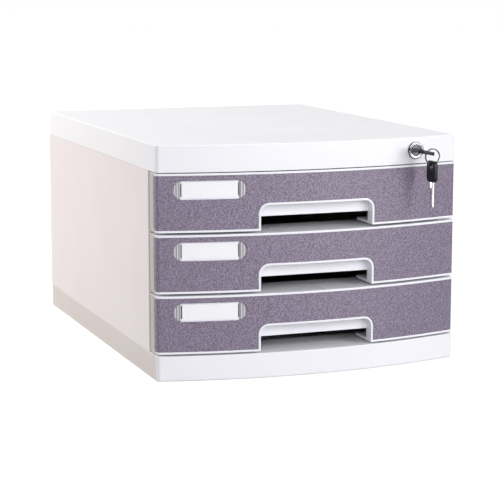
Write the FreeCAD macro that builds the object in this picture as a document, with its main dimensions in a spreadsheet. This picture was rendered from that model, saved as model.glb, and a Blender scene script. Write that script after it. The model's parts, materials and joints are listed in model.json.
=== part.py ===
"""Desktop file drawer: a three-drawer plastic cabinet with a bowed front and a cam lock.

Frame: +Z up, the fronts face -Y, +X is the right-hand side, and the origin is the centre of
the casing's footprint on the desk. Lengths are millimetres and angles are degrees.
"""

import FreeCAD
import Part
import Sketcher

import math
import os
from collections import namedtuple

# Driving sizes: alias, value and what it measures
SIZES = [
    ("casing_width", 300.0, "side to side"),
    ("casing_depth", 390.0, "front corner to back, at the sides"),
    ("casing_height", 217.0, "desk to top"),
    ("front_bow", 21.0, "how far the middle of the front stands ahead of its corners"),
    ("corner_radius", 5.0, "upright front corners"),
    ("back_corner_radius", 3.0, "upright back corners"),
    ("edge_round", 1.2, "rounding of the cover's and base's long edges"),
    ("shell_wall", 2.5, "moulded walls of the casing"),
    ("cover_height", 25.2, "depth of the top cover's skirt"),
    ("base_height", 23.4, "height of the base"),
    ("ledge_depth", 33.5, "base ledge, from the front corners back"),
    ("well_inset", 22.0, "width of the base's deck beside its well"),
    ("well_depth", 11.4, "how far the base's well lies below its deck"),
    ("well_back_margin", 30.0, "deck left behind the well"),
    ("rib_depth", 4.0, "stiffening ribs under the cover"),
    ("rib_wall", 1.6, "thickness of the stiffening ribs"),
    ("panel_setback", 22.5, "side panels' front edges, behind the front corners"),
    ("panel_flange", 10.0, "width of the side panels' back flanges"),
    ("back_recess", 2.0, "back panel's face, inside the panels' back edges"),
    ("back_panel_clearance", 0.15, "back panel to side panel, each side"),
    ("tab_length", 16.0, "screw tabs of the side panels, along the depth"),
    ("tab_reach", 8.1, "screw tabs of the side panels, inwards"),
    ("front_tab_place", 70.0, "front screw tabs, behind the front corners"),
    ("rear_tab_place", 350.0, "rear screw tabs, behind the front corners"),
    ("screw_place_inset", 4.2, "casing screws' axes, from the panels' inner faces"),
    ("boss_radius", 3.6, "screw bosses"),
    ("boss_height", 5.5, "screw bosses above the lower tabs"),
    ("screw_radius", 1.5, "shanks of the screws"),
    ("screw_head_radius", 2.8, "heads of the screws"),
    ("screw_head_height", 1.8, "heads of the screws"),
    ("screw_length", 7.0, "shanks of the casing screws"),
    ("hole_clearance", 0.2, "screw holes, in radius, in the outer piece of a joint"),
    ("back_screw_length", 4.2, "shanks of the back panel's screws"),
    ("back_screw_margin", 20.0, "outer back screws, from the back panel's ends"),
    ("pad_radius", 9.0, "non-slip pads"),
    ("pad_thickness", 2.0, "non-slip pads"),
    ("pad_clearance", 0.2, "pad recess, in radius"),
    ("pad_inset", 22.0, "pads' centres, from the sides and the back"),
    ("pad_front_place", 30.0, "front pads' centres, behind the front corners"),
    ("pad_block", 26.0, "square blocks that hold the pads"),
    ("base_gap", 1.8, "gap between the lowest front and the base"),
    ("drawer_gap", 2.2, "gap between two drawer fronts"),
    ("cover_seam", 0.8, "gap between the cover and the top front"),
    ("front_wall", 4.0, "front mouldings' walls, before the facing's recess"),
    ("front_floor", 2.5, "front mouldings' bottom flanges"),
    ("ledge_thickness", 2.0, "front mouldings' top plates"),
    ("front_back", 17.0, "front mouldings' rear plane, behind the front corners"),
    ("ledge_back", 31.5, "rear edge of the drawers' top plates, behind the front corners"),
    ("ledge_side", 32.0, "ends of the top plates' rear part, inside the cabinet's sides"),
    ("rim", 2.0, "white border round each facing"),
    ("rim_proud", 0.3, "how far the border stands out over the facing"),
    ("facing_recess", 2.0, "depth of the facing's recess"),
    ("facing_wrap", 7.5, "facing's side edges, behind the front corners"),
    ("facing_round", 4.0, "facing's corners, seen from the side"),
    ("edge_soft", 0.5, "slight rounding of the other outer edges"),
    ("notch_width", 111.0, "finger notch, inside its border"),
    ("notch_height", 23.5, "finger notch, above the front's lower edge"),
    ("notch_round", 8.0, "upper corners of the finger notch"),
    ("notch_wall", 2.0, "walls round the finger notch"),
    ("notch_back", 7.0, "rear face of the notch's back wall, ahead of the front corners"),
    ("notch_gap", 12.0, "gap under the notch's back wall, from the front's lower edge"),
    ("label_width", 66.5, "clear label window"),
    ("label_height", 17.4, "clear label window"),
    ("label_drop", 15.2, "window's middle, below the front's upper edge"),
    ("label_side", 15.2, "window's outer tip, from the side of the cabinet"),
    ("label_sunk", 0.9, "window's face, behind the front's border"),
    ("label_clearance", 0.15, "window in the facing's hole, all round"),
    ("card_width", 50.5, "label card"),
    ("card_height", 15.0, "label card"),
    ("card_thickness", 0.4, "label card"),
    ("card_slot", 1.4, "slots in the window and in the moulding, beside the card"),
    ("card_slot_height", 12.0, "slots in the moulding"),
    ("tray_side", 11.4, "drawer trays' outer faces, inside the cabinet's sides"),
    ("tray_wall", 2.2, "drawer trays' walls and floor"),
    ("tray_lift", 8.1, "trays' undersides, above the fronts' lower edges"),
    ("tray_back", 375.0, "trays' back faces, behind the front corners"),
    ("front_plate", 2.5, "trays' front plates"),
    ("front_plate_inset", 0.6, "trays' front plates, inside the cabinet's sides"),
    ("front_screw_side", 30.0, "front screws' axes, inside the cabinet's sides"),
    ("front_screw_low", 16.0, "lower front screws, above the front's lower edge"),
    ("front_screw_drop", 12.8, "upper front screws, below the front's upper edge"),
    ("front_screw_length", 9.0, "shanks of the front screws"),
    ("rail_front", 47.0, "front ends of rails and ribs, behind the front corners"),
    ("rail_back_margin", 12.0, "rear ends of the rails, ahead of the back"),
    ("rail_thickness", 2.0, "rail ledges of the side panels"),
    ("rail_clearance", 0.8, "rail ledges to the tray's wall"),
    ("rib_level", 28.0, "undersides of the trays' runner ribs, above the fronts' lower edges"),
    ("rib_thickness", 2.5, "runner ribs of the trays"),
    ("rib_reach", 5.4, "runner ribs, out from the tray's wall"),
    ("slide_clearance", 0.3, "runner rib on its rail, and stop nibs under the upper rail"),
    ("nib_height", 2.5, "stop nibs on the runner ribs"),
    ("nib_length", 6.0, "stop nibs"),
    ("nib_mesh", 2.0, "how far the rail's stop reaches down in front of the nib"),
    ("drawer_travel", 260.0, "how far each drawer comes out"),
    ("stop_clearance", 0.5, "left between the stops at full travel"),
    ("lock_side", 48.6, "lock's axis, from the right-hand side"),
    ("lock_drop", 12.3, "lock's axis, below the top"),
    ("lock_flange_radius", 8.0, "lock's face"),
    ("lock_flange", 1.6, "thickness of the lock's face"),
    ("lock_bevel", 0.5, "bevel of the lock's face"),
    ("lock_barrel_radius", 6.3, "lock's barrel"),
    ("lock_barrel", 22.0, "length of the barrel behind the face"),
    ("lock_boss_extra", 0.9, "boss round the lock's face, in radius"),
    ("lock_boss_depth", 6.5, "boss behind the lock's face"),
    ("barrel_clearance", 0.05, "barrel in the boss and in its nut"),
    ("nut_flats", 17.0, "lock nut across its flats"),
    ("nut_thickness", 4.0, "lock nut"),
    ("plug_radius", 5.0, "lock plug"),
    ("plug_clearance", 0.06, "plug in the barrel"),
    ("plug_sunk", 0.3, "plug's face behind the lock's face"),
    ("plug_overrun", 0.2, "plug's round part behind the barrel"),
    ("drive_square", 7.0, "square drive of the plug"),
    ("drive_clearance", 0.05, "cam on the square drive"),
    ("keyway_width", 6.0, "keyway"),
    ("keyway_height", 2.2, "keyway"),
    ("keyway_depth", 20.2, "keyway"),
    ("cam_thickness", 2.0, "lock cam"),
    ("cam_hub_radius", 6.8, "lock cam round its drive"),
    ("cam_throw", 8.0, "cam's pin, from the lock's axis"),
    ("cam_pin_radius", 1.5, "cam's pin"),
    ("cam_pin_length", 7.0, "cam's pin behind the cam"),
    ("cam_nose_radius", 2.8, "cam round its pin"),
    ("cam_gap", 0.1, "cam behind the plug's shoulder"),
    ("cam_screw_head", 3.2, "cam screw's head, in radius"),
    ("cam_screw_length", 4.4, "cam screw's shank"),
    ("bar_thickness", 1.5, "sheet of the locking bar"),
    ("bar_gap", 0.7, "locking bar to the cover's and panel's inner faces"),
    ("bar_arm_gap", 3.0, "locking bar's arm behind the cam"),
    ("bar_arm_height", 7.0, "locking bar's arm"),
    ("bar_slot_clearance", 0.35, "cam's pin in the arm's slot"),
    ("bar_front", 23.6, "bar's front edge below the cover, behind the front corners"),
    ("bar_back", 37.0, "bar's back edge, behind the front corners"),
    ("bar_head_gap", 4.0, "bar's wide head above the cover's lower edge"),
    ("bar_tail", 9.0, "bar below its lowest hook"),
    ("hook_front", 25.0, "hooks' front faces, behind the front corners"),
    ("hook_height", 9.0, "hooks"),
    ("hook_clearance", 2.4, "hooks to the trays' walls"),
    ("catch_gap", 1.0, "catches, behind and below the hooks"),
    ("catch_drop", 15.8, "catches' undersides, below the fronts' upper edges"),
    ("catch_height", 5.0, "catches"),
    ("catch_length", 8.0, "catches"),
    ("catch_reach", 5.4, "catches, out from the tray's wall"),
    ("guide_height", 12.0, "bar guides"),
    ("guide_wall", 0.8, "bar guides round the bar, inside"),
    ("guide_end_wall", 4.0, "bar guides behind the bar"),
    ("guide_clearance", 0.2, "bar in its guides"),
    ("key_blade_width", 5.6, "key blade"),
    ("key_blade_thickness", 1.8, "key blade"),
    ("key_blade_length", 24.7, "key blade ahead of its bow"),
    ("key_insert", 19.9, "key blade inside the plug"),
    ("key_tang", 6.0, "key blade inside its bow"),
    ("key_cut", 1.5, "cuts of the key blade"),
    ("bow_width", 17.0, "key bow"),
    ("bow_length", 20.0, "key bow"),
    ("bow_thickness", 3.3, "key bow"),
    ("bow_round", 4.5, "key bow's corners"),
    ("bow_hole_radius", 3.5, "hole for the ring"),
    ("bow_hole_margin", 2.2, "key bow outside its hole"),
    ("key_tilt", 12.0, "key in the lock, turned clockwise from level, in degrees"),
    ("ring_radius", 7.1, "key ring, to the middle of its wire"),
    ("ring_wire_radius", 0.65, "key ring's wire"),
    ("ring_play", 1.4, "key ring's wire, off the middle of the bow's hole"),
    ("ring_lean", 29.0, "key ring's middle, below level from the hole, in degrees"),
    ("hang_clearance", 0.25, "spare key's hole over the ring's wire"),
    ("overrun", 1.0, "how far a cut runs past the face it opens"),
]

# Which drawer is which, from the top down, and shares chosen by hand
DRAWERS = ["top", "middle", "bottom"]
RIB_PLACE_SHARES = [-0.33, 0.0, 0.33]
BACK_SCREW_HEIGHT_SHARES = [0.12, 0.5, 0.88]
KEY_CUT_SHARES = [(0.10, 0.0), (0.20, 0.7), (0.30, 0.3), (0.40, 1.0), (0.52, 0.5), (0.64, 0.9), (0.74, 0.0)]
GUIDE_DROP_SHARES = [0.45, 1.45]
TIP_SHARE = 0.35


class Size:
    """A length that carries its formula in the sheet together with its present value."""

    def __init__(self, formula, value):
        self.formula = formula
        self.value = value

    def _join(self, sign, other, value):
        return Size(f"({self.formula} {sign} {text_of(other)})", value)

    def __add__(self, other):
        return self._join("+", other, self.value + value_of(other))

    def __sub__(self, other):
        return self._join("-", other, self.value - value_of(other))

    def __mul__(self, other):
        return self._join("*", other, self.value * value_of(other))

    def __truediv__(self, other):
        return self._join("/", other, self.value / value_of(other))

    def __rsub__(self, other):
        return Size(f"({text_of(other)} - {self.formula})", value_of(other) - self.value)

    def __neg__(self):
        return Size(f"(0 - {self.formula})", -self.value)

    __radd__ = __add__
    __rmul__ = __mul__

    def root(self):
        """The square root, for a length worked out from squares."""
        return Size(f"sqrt({self.formula})", math.sqrt(self.value))


def text_of(number):
    """The formula of a Size, or the digits of a plain count or share."""
    return number.formula if isinstance(number, Size) else repr(number)


def value_of(number):
    """The value of a Size, or the plain count or share itself."""
    return number.value if isinstance(number, Size) else number


def bind(item, name, size):
    """Ties one property of an object to a formula of the sheet."""
    item.setExpression(name, text_of(size))


Line = namedtuple("Line", "x y")
Arc = namedtuple("Arc", "x y radius turn")
Circle = namedtuple("Circle", "x y radius")

doc = FreeCAD.newDocument("desktop_file_drawer")
sheet = doc.addObject("Spreadsheet::Sheet", "Sizes")
for row, (alias, amount, meaning) in enumerate(SIZES, start=1):
    sheet.set(f"A{row}", alias)
    sheet.set(f"B{row}", str(amount))
    sheet.set(f"C{row}", meaning)
    sheet.setAlias(f"B{row}", alias)
doc.recompute()


def named(alias):
    """A driving size of the sheet."""
    return Size(f"Sizes.{alias}", float(sheet.get(alias)))


S = namedtuple("Named", [entry[0] for entry in SIZES])(*[named(entry[0]) for entry in SIZES])


def cosine(size):
    """The cosine of an angle in degrees."""
    return Size(f"cos({text_of(size)})", math.cos(math.radians(value_of(size))))


def sine(size):
    """The sine of an angle in degrees."""
    return Size(f"sin({text_of(size)})", math.sin(math.radians(value_of(size))))


# Sketch planes: role of the origin plane, and which way its normal points along its axis
PLANES = {"XY": ("XY_Plane", 1), "XZ": ("XZ_Plane", -1), "YZ": ("YZ_Plane", 1)}


def arc_geometry(start, end, radius, turn):
    """A sketch arc from start to end. A turn of 1 is counter-clockwise and -1 is clockwise."""
    chord = FreeCAD.Vector(end.x - start.x, end.y - start.y, 0)
    height = math.sqrt(max(radius * radius - chord.Length * chord.Length / 4, 0))
    side = FreeCAD.Vector(-chord.y, chord.x, 0).normalize() * (height * turn)
    centre = (start + end) * 0.5 + side
    first, last = (start, end) if turn > 0 else (end, start)
    angles = [math.atan2(p.y - centre.y, p.x - centre.x) for p in (first, last)]
    circle = Part.Circle(centre, FreeCAD.Vector(0, 0, 1), radius)
    return Part.ArcOfCircle(circle, angles[0], angles[1])


def constrain(sketch, constraint, size=None):
    """Adds a constraint, and ties it to its size if it has one."""
    number = sketch.addConstraint(constraint)
    if size is not None:
        sketch.setExpression(f"Constraints[{number}]", text_of(size))


def pin_point(sketch, edge, end, x, y):
    """Holds one end of an edge at its place in the sketch."""
    for kind, size in (("DistanceX", x), ("DistanceY", y)):
        place = Sketcher.Constraint(kind, -1, 1, edge, end, value_of(size))
        constrain(sketch, place, size)


def draw_circle(sketch, circle):
    """A full circle with its centre and radius tied to the sheet."""
    centre = FreeCAD.Vector(value_of(circle.x), value_of(circle.y), 0)
    shape = Part.Circle(centre, FreeCAD.Vector(0, 0, 1), value_of(circle.radius))
    edge = sketch.addGeometry(shape, False)
    pin_point(sketch, edge, 3, circle.x, circle.y)
    constrain(sketch, Sketcher.Constraint("Radius", edge, value_of(circle.radius)), circle.radius)


def draw_loop(sketch, loop):
    """A closed loop of lines and arcs. Each entry starts at its own point and ends at the next one's."""
    points = [FreeCAD.Vector(value_of(step.x), value_of(step.y), 0) for step in loop]
    ends = []
    for step, start, end in zip(loop, points, points[1:] + points[:1]):
        if isinstance(step, Arc):
            shape = arc_geometry(start, end, value_of(step.radius), step.turn)
            ends.append((sketch.addGeometry(shape, False), *((1, 2) if step.turn > 0 else (2, 1))))
        else:
            ends.append((sketch.addGeometry(Part.LineSegment(start, end), False), 1, 2))
    for number, step in enumerate(loop):
        edge, first, last = ends[number]
        following, next_first, _ = ends[(number + 1) % len(loop)]
        constrain(sketch, Sketcher.Constraint("Coincident", edge, last, following, next_first))
        pin_point(sketch, edge, first, step.x, step.y)
        if isinstance(step, Arc):
            constrain(sketch, Sketcher.Constraint("Radius", edge, value_of(step.radius)), step.radius)


def new_body(label):
    """An empty body whose label names its file."""
    body = doc.addObject("PartDesign::Body", label)
    body.Label = label
    return body


def feature(body, kind, plane, low, high, *loops):
    """Pads or pockets the loops, drawn on a plane, from low to high along the plane's axis."""
    role, sign = PLANES[plane]
    count = len(body.Group)
    sketch = body.newObject("Sketcher::SketchObject", f"{body.Name}_outline_{count}")
    origin = next(item for item in body.Origin.OriginFeatures if item.Role == role)
    sketch.AttachmentSupport = [(origin, "")]
    sketch.MapMode = "FlatFace"
    bind(sketch, "AttachmentOffset.Base.z", low if sign > 0 else -high)
    for loop in loops:
        if isinstance(loop, Circle):
            draw_circle(sketch, loop)
        else:
            draw_loop(sketch, loop)
    made = body.newObject(f"PartDesign::{kind}", f"{body.Name}_{kind.lower()}_{count}")
    made.Profile = sketch
    made.Reversed = kind == "Pocket"
    bind(made, "Length", high - low)
    sketch.Visibility = False
    doc.recompute()
    return made


def pad(body, plane, low, high, *loops):
    """Adds material between two levels."""
    return feature(body, "Pad", plane, low, high, *loops)


def pocket(body, plane, low, high, *loops):
    """Takes material away between two levels, and makes sure that it did."""
    before = body.Shape.Volume
    made = feature(body, "Pocket", plane, low, high, *loops)
    if not body.Shape.Volume < before:
        raise RuntimeError(f"{made.Name} cut nothing")
    return made


def rectangle(x_low, x_high, y_low, y_high):
    """Four straight sides."""
    return [Line(x_low, y_low), Line(x_high, y_low), Line(x_high, y_high), Line(x_low, y_high)]


def rounded(x_low, x_high, y_low, y_high, radius):
    """A rectangle with round corners."""
    return [
        Line(x_low + radius, y_low),
        Arc(x_high - radius, y_low, radius, 1),
        Line(x_high, y_low + radius),
        Arc(x_high, y_high - radius, radius, 1),
        Line(x_high - radius, y_high),
        Arc(x_low + radius, y_high, radius, 1),
        Line(x_low, y_high - radius),
        Arc(x_low, y_low + radius, radius, 1),
    ]


def stadium(x_low, x_high, middle, radius):
    """A slot shape with round ends, each made of two quarter arcs."""
    return [
        Line(x_low + radius, middle - radius),
        Arc(x_high - radius, middle - radius, radius, 1),
        Arc(x_high, middle, radius, 1),
        Line(x_high - radius, middle + radius),
        Arc(x_low + radius, middle + radius, radius, 1),
        Arc(x_low, middle, radius, 1),
    ]


def span(low, high, side):
    """A pair of x places, mirrored to the left-hand side when side is -1, lowest first."""
    return (low, high) if side > 0 else (-high, -low)


# Places that many pieces share
half_width = S.casing_width / 2
front_line = (S.front_bow - S.casing_depth) / 2
back_line = (S.front_bow + S.casing_depth) / 2
inner_side = half_width - S.shell_wall
cover_bottom = S.casing_height - S.cover_height
bow_radius = (half_width * half_width + S.front_bow * S.front_bow) / (S.front_bow * 2)
bow_centre = front_line - S.front_bow + bow_radius
well_half = half_width - S.well_inset
well_floor = S.base_height - S.well_depth
tab_places = [front_line + S.front_tab_place, front_line + S.rear_tab_place]
screw_x = inner_side - S.screw_place_inset
drawer_gaps = S.cover_seam + S.base_gap + S.drawer_gap * (len(DRAWERS) - 1)
front_height = (cover_bottom - S.base_height - drawer_gaps) / len(DRAWERS)
tray_half = half_width - S.tray_side
front_screw_x = half_width - S.front_screw_side
upper_screw_z = front_height - S.front_screw_drop
catch_bottom = front_height - S.catch_drop
catch_top = catch_bottom + S.catch_height


def bow_y(x, inset):
    """The bowed front's y at x, a given depth behind its surface."""
    radius = bow_radius - inset
    return bow_centre - (radius * radius - x * x).root()


def corner(inset):
    """Where the round upright corner meets the side and the bow, a given depth inside."""
    side = half_width - inset
    across = half_width - S.corner_radius
    reach = bow_radius - S.corner_radius
    drop = (reach * reach - across * across).root()
    share = (bow_radius - inset) / reach
    return side, bow_centre - drop, across * share, bow_centre - drop * share


def bowed_front(inset, turn=1):
    """The bowed front with its two round corners, from left to right or back again."""
    side, side_y, x, y = corner(inset)
    small = S.corner_radius - inset
    large = bow_radius - inset
    return [
        Arc(-side * turn, side_y, small, turn),
        Arc(-x * turn, y, large, turn),
        Arc(x * turn, y, small, turn),
        Line(side * turn, side_y),
    ]


def casing_plan(inset):
    """The casing's whole outline seen from above, a given depth inside."""
    side = half_width - inset
    back = back_line - inset
    radius = S.back_corner_radius
    back_corners = [
        Arc(side, back - radius, radius, 1),
        Line(side - radius, back),
        Arc(radius - side, back, radius, 1),
        Line(-side, back - radius),
    ]
    return bowed_front(inset) + back_corners


def front_plan(inset, back):
    """A drawer front's outline seen from above, closed by a straight back."""
    side = half_width - inset
    return bowed_front(inset) + [Line(side, back), Line(-side, back)]


def bow_piece(x_low, x_high, inset, back):
    """The part of a front's outline between two places along it."""
    return [
        Arc(x_low, bow_y(x_low, inset), bow_radius - inset, 1),
        Line(x_high, bow_y(x_high, inset)),
        Line(x_high, back),
        Line(x_low, back),
    ]


def crescent(outer, inner, back):
    """A skin that follows the bowed front and its corners, between two depths."""
    outer_side = half_width - outer
    inner_side_x = half_width - inner
    turn_in = [Line(outer_side, back), Line(inner_side_x, back)]
    turn_out = [Line(-inner_side_x, back), Line(-outer_side, back)]
    return bowed_front(outer) + turn_in + bowed_front(inner, -1) + turn_out


def round_edges(body, radius, wanted):
    """Rounds the edges of a body that a test picks out."""
    last = body.Tip
    names = [
        f"Edge{number}"
        for number, edge in enumerate(last.Shape.Edges, start=1)
        if wanted(edge)
    ]
    fillet = body.newObject("PartDesign::Fillet", f"{body.Name}_fillet_{len(body.Group)}")
    fillet.Base = (last, names)
    bind(fillet, "Radius", radius)
    doc.recompute()


def lies_at(edge, level):
    """Whether an edge lies flat at one height."""
    box = edge.BoundBox
    return abs(box.ZMin - value_of(level)) < 1e-4 and abs(box.ZMax - value_of(level)) < 1e-4


def on_facing_end(edge):
    """Whether an edge is a corner of a facing's end, behind the upright corners of the front."""
    box = edge.BoundBox
    wrap = value_of(front_line + S.facing_wrap)
    return abs(box.YMin - wrap) < 1e-4 and abs(box.YMax - wrap) < 1e-4 and box.ZLength < 1e-4


def on_front_outline(edge):
    """Whether an edge belongs to the upper outline of a front, but not to its back."""
    ahead = edge.BoundBox.YMin < value_of(front_line + S.front_back) - 1e-4
    return ahead and lies_at(edge, front_height)


def cylinder(name, axis, x, y, z, radius, length):
    """A round bar that starts at a point and runs along +X, +Y or +Z."""
    bar = doc.addObject("Part::Cylinder", name)
    turns = {"X": (FreeCAD.Vector(0, 1, 0), 90), "Y": (FreeCAD.Vector(1, 0, 0), -90)}
    if axis in turns:
        bar.Placement.Rotation = FreeCAD.Rotation(*turns[axis])
    bind(bar, "Radius", radius)
    bind(bar, "Height", length)
    for letter, size in zip("xyz", (x, y, z)):
        bind(bar, f"Placement.Base.{letter}", size)
    return bar


def screw(name, axis, point, way, head_radius, length):
    """A pan-head screw: its head's seat at a point, its shank running along the axis, up or down it."""
    place = dict(zip("XYZ", point))
    seat = place[axis]
    shank_start = seat if way > 0 else seat - length
    head_start = seat - S.screw_head_height if way > 0 else seat
    parts = []
    for kind, start, radius, size in (
        ("shank", shank_start, S.screw_radius, length),
        ("head", head_start, head_radius, S.screw_head_height),
    ):
        place[axis] = start
        parts.append(cylinder(f"{name}_{kind}", axis, place["X"], place["Y"], place["Z"], radius, size))
    whole = doc.addObject("Part::Fuse", name)
    whole.Base, whole.Tool = parts
    return whole


def group(label, members):
    """Several like solids under one name."""
    bundle = doc.addObject("Part::Compound", label)
    bundle.Links = members
    bundle.Label = label
    return bundle


def make_top_cover():
    """The cover: a shallow shell with a lock boss, screw bosses and stiffening ribs."""
    body = new_body("top_cover")
    roof = S.casing_height - S.shell_wall
    pad(body, "XY", cover_bottom, S.casing_height, casing_plan(0))
    round_edges(body, S.edge_round, lambda edge: lies_at(edge, S.casing_height))
    round_edges(body, S.edge_soft, lambda edge: lies_at(edge, cover_bottom))
    pocket(body, "XY", cover_bottom, roof, casing_plan(S.shell_wall))
    for share in RIB_PLACE_SHARES:
        x = S.casing_width * share
        half = S.rib_wall / 2
        rib = rectangle(x - half, x + half, front_line + S.rail_front, back_line - S.shell_wall)
        pad(body, "XY", roof - S.rib_depth, roof, rib)
    for side in (-1, 1):
        for y in tab_places:
            boss = Circle(screw_x * side, y, S.boss_radius)
            pad(body, "XY", cover_bottom, roof, boss)
            hole_top = cover_bottom + S.screw_length
            pocket(body, "XY", cover_bottom, hole_top, Circle(screw_x * side, y, S.screw_radius))
    boss_radius = S.lock_flange_radius + S.lock_boss_extra
    pad(body, "XZ", lock_seat, lock_seat + S.lock_boss_depth, Circle(lock_x, lock_z, boss_radius))
    bore = S.lock_barrel_radius + S.barrel_clearance
    pocket(
        body, "XZ", lock_seat - S.lock_flange, lock_seat + S.lock_boss_depth + S.overrun,
        Circle(lock_x, lock_z, bore),
    )
    return body


def make_base():
    """The base: a ledge and deck with a well behind it, hollow from below, and four pad blocks."""
    body = new_body("base")
    well = rectangle(-well_half, well_half, front_line + S.ledge_depth, back_line - S.well_back_margin)
    hollow_top = S.base_height - S.shell_wall
    under_well = well_floor - S.shell_wall
    wall_x = well_half + S.shell_wall
    pad(body, "XY", 0, S.base_height, casing_plan(0))
    round_edges(body, S.edge_round, lambda edge: lies_at(edge, 0))
    round_edges(body, S.edge_soft, lambda edge: lies_at(edge, S.base_height))
    pocket(body, "XY", well_floor, S.base_height + S.overrun, well)
    pocket(body, "XY", -S.overrun, under_well, casing_plan(S.shell_wall))
    ledge_wall = front_line + S.ledge_depth - S.shell_wall
    deck_start = ledge_wall + S.shell_wall
    deck_end = back_line - S.well_back_margin + S.shell_wall
    rear = rectangle(-inner_side, inner_side, deck_end, back_line - S.shell_wall)
    pocket(body, "XY", under_well - S.overrun, hollow_top, front_plan(S.shell_wall, ledge_wall))
    pocket(body, "XY", under_well - S.overrun, hollow_top, rear)
    for side in (-1, 1):
        x_low, x_high = span(wall_x, inner_side, side)
        strip = rectangle(x_low, x_high, deck_start, deck_end - S.shell_wall)
        pocket(body, "XY", under_well - S.overrun, hollow_top, strip)
    for x, y in pad_places():
        half = S.pad_block / 2
        block = rectangle(x - half, x + half, y - half, y + half)
        pad(body, "XY", 0, under_well, block)
        recess = Circle(x, y, S.pad_radius + S.pad_clearance)
        pocket(body, "XY", -S.overrun, S.pad_thickness, recess)
    for side in (-1, 1):
        for y in tab_places:
            hole = Circle(screw_x * side, y, S.screw_radius + S.hole_clearance)
            pocket(body, "XY", hollow_top - S.overrun, S.base_height + S.overrun, hole)
    return body


def pad_places():
    """The middles of the four non-slip pads."""
    x = half_width - S.pad_inset
    rows = [front_line + S.pad_front_place, back_line - S.pad_inset]
    return [(x * side, y) for side in (-1, 1) for y in rows]


def make_side_panel(label, side):
    """A side panel with its runner rails, screw tabs and back flange."""
    body = new_body(label)
    low, high = S.base_height, cover_bottom
    front = front_line + S.panel_setback
    pad(body, "XY", low, high, rectangle(*span(inner_side, half_width, side), front, back_line))
    flange_x = span(inner_side - S.panel_flange, inner_side, side)
    flange_back = back_line - S.back_recess - S.shell_wall
    pad(body, "XY", low, high, rectangle(*flange_x, flange_back - S.shell_wall, flange_back))
    rail_x = span(tray_half + S.rail_clearance, inner_side, side)
    start, end = front_line + S.rail_front, back_line - S.rail_back_margin
    for level in range(len(DRAWERS)):
        rib_bottom = front_bottom(level) + S.rib_level
        rib_top = rib_bottom + S.rib_thickness
        lower_top = rib_bottom - S.slide_clearance
        upper_bottom = rib_top + S.nib_height + S.slide_clearance
        pad(body, "XY", lower_top - S.rail_thickness, lower_top, rectangle(*rail_x, start, end))
        pad(body, "XY", upper_bottom, upper_bottom + S.rail_thickness, rectangle(*rail_x, start, end))
        stop = rectangle(*rail_x, start, start + S.nib_length)
        pad(body, "XY", upper_bottom - S.nib_mesh, upper_bottom, stop)
    tab_x = span(inner_side - S.tab_reach, inner_side, side)
    for y in tab_places:
        tab = rectangle(*tab_x, y - S.tab_length / 2, y + S.tab_length / 2)
        pad(body, "XY", high - S.shell_wall, high, tab)
        pad(body, "XY", low, low + S.shell_wall, tab)
        boss_top = low + S.shell_wall + S.boss_height
        pad(body, "XY", low, boss_top, Circle(screw_x * side, y, S.boss_radius))
        pocket(body, "XY", low, low + S.screw_length, Circle(screw_x * side, y, S.screw_radius))
        hole = Circle(screw_x * side, y, S.screw_radius + S.hole_clearance)
        pocket(body, "XY", high - S.shell_wall - S.overrun, high + S.overrun, hole)
    for z in back_screw_heights():
        hole = Circle(back_screw_x * side, z, S.screw_radius)
        pocket(body, "XZ", flange_back - S.shell_wall - S.overrun, flange_back + S.overrun, hole)
    return body


def front_bottom(level):
    """The lower edge of a drawer's front, counted from the top drawer down."""
    step = front_height + S.drawer_gap
    return cover_bottom - S.cover_seam - front_height - step * level


back_screw_x = inner_side - S.panel_flange / 2


def back_screw_heights():
    """The heights of the back panel's screws."""
    rise = cover_bottom - S.base_height
    return [S.base_height + rise * share for share in BACK_SCREW_HEIGHT_SHARES]


def make_back_panel():
    """The flat back, which lies on the side panels' flanges."""
    body = new_body("back_panel")
    half = inner_side - S.back_panel_clearance
    face = back_line - S.back_recess
    outline = rectangle(-half, half, S.base_height, cover_bottom)
    pad(body, "XZ", face - S.shell_wall, face, outline)
    for side in (-1, 1):
        radius = S.screw_radius + S.hole_clearance
        holes = [Circle(back_screw_x * side, z, radius) for z in back_screw_heights()]
        pocket(body, "XZ", face - S.shell_wall - S.overrun, face + S.overrun, *holes)
    return body


def make_pads():
    """The four non-slip pads, flush with the base's rim."""
    pads = [
        cylinder(f"pad_{number}", "Z", x, y, 0, S.pad_radius, S.pad_thickness)
        for number, (x, y) in enumerate(pad_places())
    ]
    return group("rubber_pads", pads)


def make_casing_screws():
    """The screws that hold the cover, the base and the back to the side panels."""
    cover, base, back = [], [], []
    cover_seat = cover_bottom - S.shell_wall
    base_seat = S.base_height - S.shell_wall
    face = back_line - S.back_recess
    for side in (-1, 1):
        x = screw_x * side
        for number, y in enumerate(tab_places):
            tag = f"{'left' if side < 0 else 'right'}_{number}"
            head, length = S.screw_head_radius, S.screw_length
            cover.append(screw(f"cover_screw_{tag}", "Z", (x, y, cover_seat), 1, head, length))
            base.append(screw(f"base_screw_{tag}", "Z", (x, y, base_seat), 1, head, length))
        for number, z in enumerate(back_screw_heights()):
            tag = f"{'left' if side < 0 else 'right'}_{number}"
            point = (back_screw_x * side, face, z)
            back.append(screw(f"back_screw_{tag}", "Y", point, -1, S.screw_head_radius, S.back_screw_length))
    return [group("cover_screws", cover), group("base_screws", base), group("back_screws", back)]


# The lock's places
lock_x = half_width - S.lock_side
lock_z = S.casing_height - S.lock_drop
lock_seat = bow_y(lock_x - S.lock_flange_radius, 0)
lock_face = lock_seat - S.lock_flange
barrel_end = lock_seat + S.lock_barrel
cam_front = barrel_end + S.plug_overrun + S.cam_gap
cam_back = cam_front + S.cam_thickness
pin_step = S.cam_throw * cosine(45)
pin_x, pin_z = lock_x + pin_step, lock_z + pin_step
bar_lift = pin_step * 2


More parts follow.
